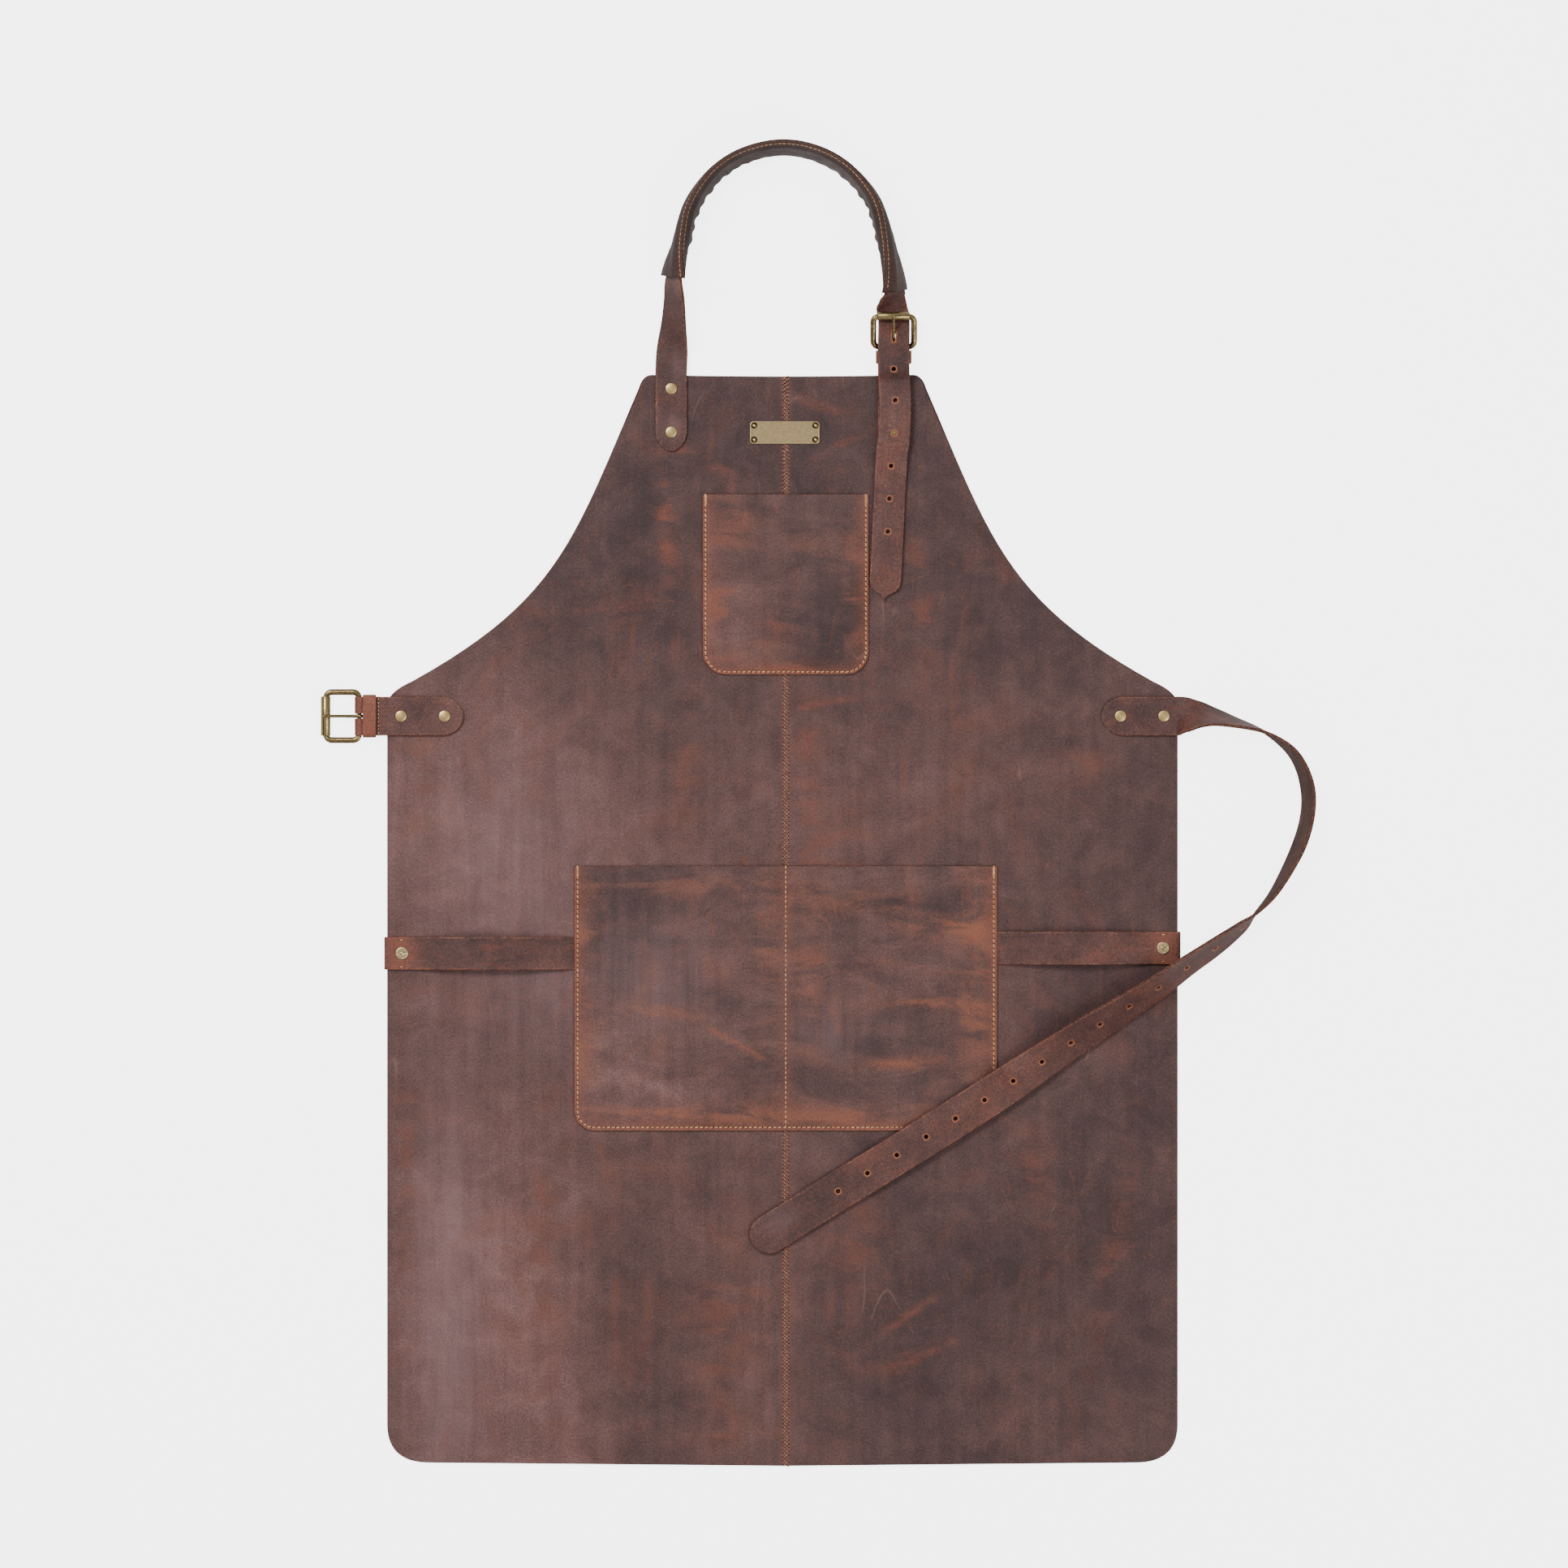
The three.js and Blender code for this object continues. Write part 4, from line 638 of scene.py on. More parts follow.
def make_pocket(name, node, pocket, inset, material, rib, offset):
    """Makes a pocket and returns its top as a function of x and y. `rib` is a seam down its middle."""
    x0, x1, y0, y1, corners = (pocket[k] for k in ("x0", "x1", "y0", "y1", "corners"))
    rows = steps_in(y1 - y0, 3.5)
    shares = steps_in(x1 - x0, 3.5) / (x1 - x0)
    plan = np.zeros((len(rows), len(shares), 2))
    for i, rise in enumerate(rows):
        cut_left, cut_right = (r - math.sqrt(max(r**2 - max(r - rise, 0) ** 2, 0)) for r in corners)
        left, right = x0 + cut_left, x1 - cut_right
        plan[i] = np.column_stack([left + (right - left) * shares, np.full(len(shares), y0 + rise)])

    def puff(x, y):
        d = pocket_edge(pocket, x, y)
        lift = 0.72 * smooth((d - inset - 0.6) / 7.0)
        if rib:
            lift = lift * smooth((np.abs(x - SEAM_X) - 1.0) / 7.0)
        waves = 0.10 * np.sin(x * 0.21 + 3 * np.sin(y * 0.05)) * np.sin(y * 0.17 + 1.0)
        return lift * (1 + waves)

    def top(x, y):
        d = pocket_edge(pocket, x, y)
        groove = STITCH_GROOVE * np.exp(-(((d - inset) / 0.7) ** 2))
        if rib:
            groove = np.maximum(groove, STITCH_GROOVE * np.exp(-(((x - SEAM_X) / 0.8) ** 2)))
        return BODY_THICK + POCKET_THICK + ground(x, y) + puff(x, y) - groove

    def glow(x, y):
        d = pocket_edge(pocket, x, y)
        near = np.exp(-((np.maximum(d, 0) / 5.5) ** 1.2))
        if rib:
            near = np.maximum(near, 0.5 * np.exp(-np.abs(x - SEAM_X) / 4))
        return near * 0.85

    made = hide_slab(name, plan, lambda x, y: BODY_THICK + ground(x, y) + puff(x, y), top, material,
                     glow, round_off=0.4, offset=offset)
    stand_for(made, node, "pocket_hide", (x1 - x0, y1 - y0), held="laid", area=grid_area(plan))
    print(name, "is", x1 - x0, "by", round(y1 - y0, 1), "mm")
    return top


chest_top = make_pocket("pocket_chest", "chest_pocket", CHEST, CHEST_INSET, chest_leather, False, 3000)
lower_top = make_pocket("pocket_lower", "lower_pocket", LOWER, LOWER_INSET, lower_leather, True, 5000)


# %% [markdown]
# ## Routes
# A strap is a ribbon that follows a route. Each key of a route is a place, a height and a roll: the roll
# lifts the strap's right-hand edge, which is what turns a flat strap on its edge round a bend.


# %% Routes of the twisting straps
def hermite(a, b, slope_a, slope_b, w):
    """Between a and b at share w, with given slopes at both."""
    return ((2 * w**3 - 3 * w**2 + 1) * a + (w**3 - 2 * w**2 + w) * slope_a
            + (3 * w**2 - 2 * w**3) * b + (w**3 - w**2) * slope_b)


class Route:
    """A smooth line through keys of (x, y, height, roll)."""

    def __init__(self, keys):
        self.keys = np.array(keys, float)
        self.spans = len(keys) - 1
        t = np.linspace(0, 1, 60 * self.spans + 1)
        self.t = t
        self.points = np.array([self.point(v) for v in t])
        steps = np.linalg.norm(np.diff(self.points, axis=0), axis=1)
        self.at = np.r_[0, np.cumsum(steps)]
        self.length = self.at[-1]

    def plan(self, t):
        """Centripetal Catmull-Rom through the keys, in plan."""
        p = self.keys[:, :2]
        place = min(t, 1 - 1e-9) * self.spans
        i = int(place)
        w = place - i
        a = p[i - 1] if i > 0 else 2 * p[0] - p[1]
        d = p[i + 2] if i + 2 < len(p) else 2 * p[-1] - p[-2]
        b, c = p[i], p[i + 1]
        ab, bc, cd = (max(np.linalg.norm(v), 1e-4) ** 0.5 for v in (b - a, c - b, d - c))
        m1 = ((b - a) / ab - (c - a) / (ab + bc) + (c - b) / bc) * bc
        m2 = ((c - b) / bc - (d - b) / (bc + cd) + (d - c) / cd) * bc
        return hermite(b, c, m1, m2, w)

    def steady(self, column, t):
        """Heights and rolls run between their keys without overshoot."""
        v = self.keys[:, column]
        rise = np.diff(v)
        slope = np.zeros(len(v))
        for k in range(1, len(v) - 1):
            if rise[k - 1] * rise[k] > 0:
                slope[k] = 2 * rise[k - 1] * rise[k] / (rise[k - 1] + rise[k])
        place = min(t, 1 - 1e-9) * self.spans
        i = int(place)
        w = place - i
        return hermite(v[i], v[i + 1], slope[i], slope[i + 1], w)

    def point(self, t):
        x, y = self.plan(t)
        return np.array([x, y, self.steady(2, t)])

    def frame(self, distance):
        """Place, across, normal and ahead at a distance along the route."""
        t = float(np.interp(distance, self.at, self.t))
        ahead = self.point(min(t + 1e-4, 1)) - self.point(max(t - 1e-4, 0))
        ahead /= np.linalg.norm(ahead)
        right = np.cross(ahead, (0, 0, 1))
        right /= np.linalg.norm(right)
        up = np.cross(right, ahead)
        roll = math.radians(self.steady(3, t))
        across = right * math.cos(roll) + up * math.sin(roll)
        normal = up * math.cos(roll) - right * math.sin(roll)
        place = self.point(t)
        place[2] += ground(place[0], place[1])
        return place, across, normal, ahead

    def distance_near(self, x, y):
        away = np.hypot(self.points[:, 0] - x, self.points[:, 1] - y)
        return float(self.at[int(np.argmin(away))])


class SidePath:
    """The route of a folded strap: (place, height, thickness) seen from the side, `across` fixed."""

    def __init__(self, points, place):
        self.points = np.array(points, float)
        steps = np.linalg.norm(np.diff(self.points[:, :2], axis=0), axis=1)
        self.at = np.r_[0, np.cumsum(steps)]
        self.length = self.at[-1]
        self.place = place

    def thick(self, distance):
        return float(np.interp(distance, self.at, self.points[:, 2]))

    def sample(self, distance, reach):
        """Place and height at a distance, and the direction there, taken over `reach` to both sides."""
        def at(d):
            return np.array([np.interp(d, self.at, self.points[:, k]) for k in (0, 1)])

        step = at(min(distance + reach, self.length)) - at(max(distance - reach, 0))
        return (*at(distance), *(step / math.hypot(*step)))

    def frame(self, distance):
        u, z, du, dz = self.sample(distance, 0.4)
        ahead = np.array([du, 0, dz])
        across = np.array([0, -1.0, 0])
        normal = np.cross(across, ahead)
        return self.place(np.array([u, 0, z]), across, normal, ahead)


def standing(base, roll, width):
    """Height of a strap's middle when it is rolled and its lower edge is at `base`."""
    angle = math.radians(roll)
    return base + width / 2 * math.sin(angle) + STRAP_THICK / 2 * abs(math.cos(angle))


# %% [markdown]
# ## Ribbons
# One builder makes every strap. It walks the route, sets a rounded section at each station, and leaves real
# openings: round holes with a worn rim, and the long slot that a buckle's prong needs.


# %% Ribbon builder
RING = 22  # points in one section; 3, 4 and 5 are the top of its core and 16, 15 and 14 the back
HOLE_SIDES = 16


def section(half, thick, core):
    """One section: nine points over the grain side, four down each rounded edge, five along the back."""
    r = min(0.55, half * 0.4, thick * 0.42)
    flat = half - r
    lines = [flat, max(flat - 1.0, flat * 0.85), max(flat - 2.6, flat * 0.7), min(core, flat * 0.5)]
    top = [-lines[0], -lines[1], -lines[2], -lines[3], 0, lines[3], lines[2], lines[1], lines[0]]
    t = thick / 2
    ring = [(w, t) for w in top]
    ring += [(half - 0.3 * r, t - 0.3 * r), (half, t - r), (half, r - t), (half - 0.3 * r, 0.3 * r - t)]
    ring += [(flat, -t), (lines[3], -t), (0, -t), (-lines[3], -t), (-flat, -t)]
    ring += [(0.3 * r - half, 0.3 * r - t), (-half, r - t), (-half, t - r), (0.3 * r - half, t - 0.3 * r)]
    return ring


SECTION_WEAR = [1, 0.5, 0, 0, 0, 0, 0, 0.5, 1, 1, 0.7, 0, 0, 0, 0, 0, 0, 0, 0, 0, 0.7, 1]
SECTION_CUT = [0] * 9 + [0.3, 1, 1, 0.3] + [0] * 5 + [0.3, 1, 1, 0.3]
SECTION_FLESH = [0] * 9 + [0, 0, 0.3, 0.6] + [1] * 5 + [0.6, 0.3, 0, 0]


def tip_width(half, length, blunt, ogee=False):
    """Half width of a strap at a distance from its tip."""
    if ogee:
        edge = curve((half, 0), (half * 0.95, length * 0.8), (half * 0.25, length * 0.5), (0, length), count=80)
    else:
        edge = curve((half, 0), (half, length * 0.55), (half * blunt, length), (0, length), count=80)
    from_tip = length - edge[::-1, 1]
    width = edge[::-1, 0]
    return lambda distance: float(np.interp(distance, from_tip, width)) if distance < length else half


def ribbon(name, route, half_at, thick_at, material, holes=(), slots=(), pace=3.0, core=2.9, offset=0.0,
           glow_at=None, body="apron", dense=()):
    """A strap along a route. holes: (distance, radius, stretch). slots: (start, end) distances, cut `core`
    to each side. `dense` adds stations, `offset` moves the grain so that no two straps match."""
    length = route.length
    keep = np.arange(0, length + 1e-6, length / math.ceil(length / pace))
    near_ends = [0.02, 0.15, 0.4, 0.8, 1.5, 2.5, 4, 6]
    fixed = near_ends + [length - d for d in near_ends] + [0, length] + list(dense)
    for distance, radius, stretch in holes:
        reach = max(core, radius * stretch + 1.2)
        keep = keep[np.abs(keep - distance) > reach + 0.6]
        fixed = [f for f in fixed if abs(f - distance) > reach + 0.3]
        fixed += [distance - reach, distance, distance + reach]
    for start, end in slots:
        fixed += [start, end]
    stations = np.unique(np.round(np.r_[keep, fixed], 4))
    frames = [route.frame(d) for d in stations]
    points, wear, cut, flesh, lay = [], [], [], [], []
    for d, (at, across, normal, ahead) in zip(stations, frames):
        ring = section(max(half_at(d), 0.03), thick_at(d), core)
        points += [at + across * w + normal * n for w, n in ring]
        wear += SECTION_WEAR
        cut += SECTION_CUT
        flesh += SECTION_FLESH
        lay += [(w + offset, d + offset, n + offset) for w, n in ring]
    removed = set()
    extra_faces = []
    rim = [0.0] * len(points)

    def index(i, k):
        return i * RING + k % RING

    def add_point(p, cuts, fleshes, lays, rims):
        points.append(p)
        wear.append(0)
        cut.append(cuts)
        flesh.append(fleshes)
        lay.append(lays)
        rim.append(rims)
        return len(points) - 1

    for distance, radius, stretch in holes:
        i = int(np.argmin(np.abs(stations - distance)))
        removed |= {(j, k) for j in (i - 1, i) for k in (3, 4, 14, 15)}
        at, across, normal, ahead = frames[i]
        t = thick_at(stations[i]) / 2
        outer = [index(i, 5), index(i + 1, 5), index(i + 1, 4), index(i + 1, 3),
                 index(i, 3), index(i - 1, 3), index(i - 1, 4), index(i - 1, 5)]
        under = [index(i, 14), index(i + 1, 14), index(i + 1, 15), index(i + 1, 16),
                 index(i, 16), index(i - 1, 16), index(i - 1, 15), index(i - 1, 14)]
        circles = []
        for size, level, dark, rimmed in ((radius + 0.9, t, 0, 0.3), (radius + 0.25, t - 0.05, 0, 1.0),
                                          (radius, t - 0.35, 0.3, 0.6), (radius, -t, 1, 0)):
            circle = []
            for k in range(HOLE_SIDES):
                angle = math.radians(360 / HOLE_SIDES * k)
                w, l = math.cos(angle) * size, math.sin(angle) * (size + radius * (stretch - 1))
                p = at + across * w + ahead * l + normal * level
                lays = (w + offset, distance + l + offset, level + offset)
                circle.append(add_point(p, dark, 1.0 if level < 0 else 0.0, lays, rimmed))
            circles.append(circle)
        for j in range(8):
            a, b = outer[j], outer[(j + 1) % 8]
            c = circles[0]
            extra_faces.append((a, b, c[(2 * j + 2) % HOLE_SIDES], c[2 * j + 1], c[2 * j]))
            c = circles[-1]
            a, b = under[j], under[(j + 1) % 8]
            extra_faces.append((b, a, c[2 * j], c[2 * j + 1], c[(2 * j + 2) % HOLE_SIDES]))
        for first, second in zip(circles, circles[1:]):
            extra_faces += band(first, second)
    for start, end in slots:
        i0, i1 = (int(np.argmin(np.abs(stations - d))) for d in (start, end))
        for i in range(i0, i1):
            removed |= {(i, k) for k in (3, 4, 14, 15)}
            extra_faces.append((index(i, 5), index(i + 1, 5), index(i + 1, 14), index(i, 14)))
            extra_faces.append((index(i + 1, 3), index(i, 3), index(i, 16), index(i + 1, 16)))
        for i, order in ((i0, 1), (i1, -1)):
            for a, b, c, d in ((3, 4, 15, 16), (4, 5, 14, 15)):
                face = [index(i, a), index(i, b), index(i, c), index(i, d)]
                extra_faces.append(tuple(face[::order]))
    faces = []
    for i in range(len(stations) - 1):
        for k in range(RING):
            if (i, k) not in removed:
                faces.append((index(i, k), index(i, k + 1), index(i + 1, k + 1), index(i + 1, k)))
    faces += extra_faces
    last = len(stations) - 1
    faces.append(tuple(index(0, k) for k in reversed(range(RING))))
    faces.append(tuple(index(last, k) for k in range(RING)))
    lay = np.array(lay)
    glow = np.zeros(len(points)) if glow_at is None else np.array([glow_at(v[1] - offset) for v in lay])
    return make_mesh(name, points, faces, material, body, lay, sharp=50, wear=wear, cut=cut, flesh=flesh,
                     rim=rim, glow=glow)


# %% [markdown]
# ## The long straps
# Neck strap: riveted at the left, up on its edge through the sleeve, down through the buckle and over the
# bib. Waist strap: riveted at the right, round a wide bend on its edge, and back across the lower pocket.


# %% Neck strap
ARCH_RISE = 172  # from the body's top edge to the top of the arch
INSIDE = 1.9 + GAP  # the strap's lower edge above the floor, inside the sleeve


def neck_route():
    """(x, y, height, roll) keys, with the arch as shares of its half width and its rise."""
    def stand(base, roll):
        return standing(base, roll, NECK_WIDTH)

    def leg(share, rise):
        return share * NECK_X, TOP_Y + rise * ARCH_RISE

    heel_y = TOP_Y + HEEL_REACH
    tilt = math.radians(NECK_TILT)
    roller_y = heel_y + NECK_SPACING * math.cos(tilt)
    half = STRAP_THICK / 2
    under = HEEL_Z + NECK_SPACING * math.sin(tilt) - NECK_ROLLER - 3.5 * GAP - half - 0.4
    over = KEEPER_TOP + GAP + half
    rivets = CAP_TOP + GAP + half
    first = TOP_Y + RIVETS[0]
    end, on_bib = TOP_Y - STRAP_END, BODY_THICK + GAP + half
    x = NECK_X
    arch = [(-0.9, 0.598, 90), (-0.83, 0.73, 97), (-0.705, 0.831, 101), (-0.55, 0.909, 104),
            (-0.35, 0.965, 105), (-0.1, 0.998, 105), (0.12, 0.998, 105), (0.35, 0.967, 105),
            (0.545, 0.914, 104), (0.7, 0.844, 101), (0.83, 0.752, 97), (0.912, 0.62, 90)]
    keys = [(-x, TOP_Y - STRAP_END, BODY_THICK + half, 0), (-x, TOP_Y - 20, BODY_THICK + half, 0),
            (-x, TOP_Y + 4, BODY_THICK + half, 0), (-x + 1.9, TOP_Y + 38, stand(GAP, 41), 41),
            (-x + 2.4, TOP_Y + 56.5, stand(GAP, 53), 53), (*leg(-0.974, 0.43), stand(INSIDE, 64), 64)]
    keys += [(*leg(share, rise), stand(INSIDE, roll), roll) for share, rise, roll in arch]
    keys += [(x + 0.2, roller_y + 20.5, stand(INSIDE, 63), 63), (x - 1.2, roller_y + 13, stand(GAP, 42), 42),
             (x - 1.4, roller_y + 6, under - 0.6, 12), (x, roller_y - 0.5, under, 2), (x, heel_y + 1, over, 0),
             (x, TOP_Y + 5, over, 0), (x + 0.4, first + 5.2, rivets, 0), (x + 1.2, first - 10, rivets, 0),
             (x + 0.2, first - 38, rivets, 0), (x - 1.2, end, on_bib + STRAP_THICK, 0),
             (x - 3, end - 32, on_bib, 0), (x - 5.6, end - 86, on_bib, 0), (x - 7.4, end - 113, on_bib, 0)]
    return Route(keys)


def wavering(half, amount, seed):
    """A strap's cut edge is never dead straight."""
    return lambda d: half + amount * math.sin(d * 0.071 + seed) * math.sin(d * 0.023 + 2 * seed)


def long_strap(name, node, route, width, far, waver, holes, **options):
    """A strap pointed at both ends. `far` shapes its far tip and `waver` its edge, as in tip_width and
    wavering."""
    near_tip, far_tip = (tip_width(width / 2, TIP_LENGTH, *shape) for shape in ((0.45,), far))
    edge = wavering(width / 2, *waver)
    made = ribbon(name, route, lambda d: min(near_tip(d), far_tip(route.length - d), edge(d)),
                  lambda d: STRAP_THICK, strap_leather, holes, **options)
    stand_for(made, node, "strap_hide", (width, route.length), held="laid")
    print(name, "is", round(route.length), "mm long")


neck = neck_route()
# The prong's hole is a slit, so that the prong can lift; the other six are round and 25 mm apart
prong_at = neck.distance_near(NECK_X, TOP_Y + HEEL_REACH + 8.2)
neck_holes = [(prong_at, 1.28, 3.7)] + [(prong_at + 25 * i, HOLE_RADIUS, 1.0) for i in range(1, 7)]
long_strap("strap_neck", "neck_strap", neck, NECK_WIDTH, (0.3, True), (0.12, 0.8), neck_holes, pace=1.5,
           offset=100)


# %% Waist strap
def waist_route():
    """Keys counted from the body's edge at the waist: (x, y, height, roll)."""
    def stand(base, roll):
        return standing(base, roll, WAIST_WIDTH)

    half = STRAP_THICK / 2
    on_body, on_pocket = BODY_THICK + GAP, POCKET_TOP + GAP
    rows = [(-58, 0, BODY_THICK + half, 0), (-25, 0, BODY_THICK + half, 0), (-3, 0, BODY_THICK + half, 0),
            (9, 0.2, stand(0.6, 33), 33), (24.6, -0.4, stand(GAP, 62), 62), (42.5, -4.6, stand(GAP, 77), 77),
            (66.5, -12.6, stand(GAP, 90), 90), (85.6, -26.4, stand(GAP, 100), 100),
            (94.2, -40.4, stand(GAP, 104), 104), (98.6, -57.1, stand(GAP, 107), 107),
            (98.2, -74.9, stand(GAP, 107), 107), (93.1, -94.6, stand(GAP, 107), 107),
            (82.8, -116.8, stand(GAP, 103), 103), (70.8, -136.5, stand(GAP, 97), 97),
            (57.9, -150.7, stand(GAP, 89), 89), (49.3, -159, stand(GAP, 76), 76),
            (27.7, -175.3, stand(GAP, 65), 65), (6.8, -189.5, stand(on_body, 60), 60),
            (-13.9, -204.3, stand(on_body, 54), 54), (-80.7, -246.8, stand(on_body + 1, 34), 34),
            (-145.4, -290.2, stand(on_pocket, 6), 6), (-212.8, -332.7, on_pocket + half, 0),
            (-270, -368, on_body + half, 0), (-305.5, -390.3, on_body + half, 0),
            (-322.2, -400.8, on_body + half, 0)]
    return Route([(EDGE_X + x, WAIST_Y + y, z, roll) for x, y, z, roll in rows])


waist = waist_route()
waist_holes = [(waist.length - 76 - 26.2 * i, HOLE_RADIUS, 1.0) for i in range(15)]
long_strap("strap_waist", "waist_strap", waist, WAIST_WIDTH, (0.7,), (0.15, 1.9), waist_holes, offset=900)


# %% [markdown]
# ## The sleeve
# A strip of softer leather wrapped round the neck strap. Its two raw edges are sewn together as a flange
# along the strap's raised edge. It wrinkles where the arch bends it.


# %% Neck sleeve
def sleeve_outline(fat=1.0):
    """The sleeve's section as 56 points of (across, normal): a bag below and the sewn flange above."""
    low, high = -NECK_WIDTH / 2 - 1.9, NECK_WIDTH / 2 + 5.2
    right = [(low, 0), (low + 0.6, -3.0 * fat), (low + 4, -4.8 * fat), (-3, -5.2 * fat), (high - 9, -4.2 * fat),
             (high - 6, -2.6 * fat), (high - 3.6, -1.5), (high - 1, -1.45), (high, -1.3)]
    outline = right + [(w, -n) for w, n in reversed(right[1:])]
    closed = np.array(outline + outline[:1], float)
    step = np.r_[0, np.cumsum(np.linalg.norm(np.diff(closed, axis=0), axis=1))]
    places = np.linspace(0, step[-1], 57)[:-1]
    return np.column_stack([np.interp(places, step, closed[:, k]) for k in (0, 1)])


sleeve_from = neck.distance_near(-0.974 * NECK_X, TOP_Y + 0.43 * ARCH_RISE)
sleeve_to = neck.distance_near(NECK_X, TOP_Y + HEEL_REACH + NECK_SPACING + 18.6)


def make_sleeve():
    outline = sleeve_outline()
    count = len(outline)
    slot = np.clip(outline * np.array([0.83, 0.36]), (-12.3, -1.6), (12.3, 1.6))
    stations = np.linspace(sleeve_from, sleeve_to, 220)
    outer, inner, lay, glow, cut = [], [], [], [], []
    for d in stations:
        at, across, normal, ahead = neck.frame(d)
        share = (d - sleeve_from) / (sleeve_to - sleeve_from)
        fat = 0.80 + 0.55 * smooth((abs(2 * share - 1) - 0.2) / 0.6)
        pinch = smooth(abs(2 * share - 1) * 3) * smooth((1 - abs(2 * share - 1)) * 6)
        for k, (w, n) in enumerate(sleeve_outline(fat)):
            grip = math.exp(-((w + 8) / 8) ** 2) if w < 11 else 0
            waves = math.sin(d * 0.62 + 1.3 * math.sin(d * 0.05)) + 0.6 * math.sin(d * 0.31 + w * 0.12 + 1.0)
            size = 1 + (0.11 if n < 0 else 0.015) * waves * grip * pinch
            outer.append(at + across * w + normal * n * size)
            lay.append((k * 1.2 + 700, d + 700, 0))
            glow.append(0.15 * math.exp(-((w - 13.4) / 1.0) ** 2))
            cut.append(0.35 if w > 16.4 else 0.0)
        for w, n in slot:
            inner.append(at + across * w + normal * n)
    points = np.vstack([outer, inner])
    total = len(outer)
    faces = []
    for i in range(len(stations) - 1):
        for k in range(count):
            n = (k + 1) % count
            a, b = i * count + k, i * count + n
            c, d = b + count, a + count
            faces.append((b, a, d, c))
            faces.append((total + a, total + b, total + c, total + d))
    for i, flip in ((0, False), (len(stations) - 1, True)):
        for k in range(count):
            n = (k + 1) % count
            face = (i * count + k, i * count + n, total + i * count + n, total + i * count + k)
            faces.append(face[::-1] if flip else face)
    lay = np.vstack([lay, lay])
    glow = np.r_[glow, glow]
    cut = np.r_[cut, np.zeros(len(inner))]
    flesh = np.r_[np.zeros(total), np.ones(len(inner))]
    made = make_mesh("sleeve_neck", points, faces, sleeve_leather, lay=lay, glow=glow, cut=cut, flesh=flesh)
    around = float(np.linalg.norm(np.diff(np.vstack([outline, outline[:1]]), axis=0), axis=1).sum())
    stand_for(made, "neck_sleeve", "sleeve_hide", (around, sleeve_to - sleeve_from), held="folded",
              rests_on=["strap_neck"])
    print("the sleeve is", round(around, 1), "mm round")


make_sleeve()


# %% [markdown]
# ## Buckles
# Both buckles are laid out along their own axis `u`, outwards from the body's edge, and then placed.
# The strap climbs over its thinned return, goes round the heel bar, and comes back under itself.


# %% Folded straps and keepers
def placer(x, y, turn):
    """Places a point and directions laid out along u at (x, y), turned by `turn` degrees."""
    c, s = math.cos(math.radians(turn)), math.sin(math.radians(turn))
    spin = np.array([[c, -s, 0], [s, c, 0], [0, 0, 1]])

    def place(point, *directions):
        return (spin @ point + np.array([x, y, 0]), *(spin @ d for d in directions))

    return place


def rounded(points, passes=3):
    """Corner cutting, which keeps the first and the last point."""
    p = np.array(points, float)
    for _ in range(passes):
        q, r = p[:-1] * 0.75 + p[1:] * 0.25, p[:-1] * 0.25 + p[1:] * 0.75
        p = np.vstack([p[:1], np.column_stack([q, r]).reshape(-1, p.shape[1]), p[-1:]])
    return p


def folded_path():
    """(u, z, thickness) from the tip on the body, round the heel bar, to the end of the return."""
    over = [(-STRAP_END, 3.1, 2.6), (-1.5, 3.1, 2.6), (0.8, 3.2, 2.6), (3.6, 4.55, 2.6), (9, 4.75, 2.5),
            (12, 5.2, 2.2), (15.5, 7.0, 1.8), (18.5, 7.75, 1.5), (HEEL_REACH, 7.85, 1.5)]
    bend = [(HEEL_REACH + 2.75 * math.sin(a), HEEL_Z + 2.75 * math.cos(a), 1.5)
            for a in np.linspace(0, math.pi, 15)[1:]]
    back = [(12.0, 2.35, 1.5), (4.8, 2.35, 1.4)]
    return np.vstack([rounded(over, 2), bend, back])


def make_buckle_strap(name, node, width, place):
    """A strap folded round the heel bar, with the slot its prong comes out of."""
    path = SidePath(folded_path(), place)
    tip = tip_width(width / 2, TIP_LENGTH, 0.45)
    edge = wavering(width / 2, 0.1, width)
    slot_start = path.at[np.argmax(path.points[:, 0] >= HEEL_REACH - 4.6)]
    bend_end = path.at[np.argmin(np.abs(path.points[:, 0] - HEEL_REACH) + (path.points[:, 1] > HEEL_Z) * 99)]
    dense = np.arange(STRAP_END + 14, path.length - 12, 0.5)
    made = ribbon(name, path, lambda d: min(tip(d), edge(d)), path.thick, strap_leather,
                  slots=[(slot_start, bend_end + 4.5)], pace=2.5, core=1.9, offset=width * 60, dense=dense,
                  glow_at=lambda d: 0.7 * math.exp(-(((d - STRAP_END - 22) / 9) ** 2)))
    stand_for(made, node, "strap_hide", (width, path.length), held="folded")


KEEPER_WIDTH, KEEPER_THICK, KEEPER_AT = 10.0, 1.2, 8.4 + 4.95


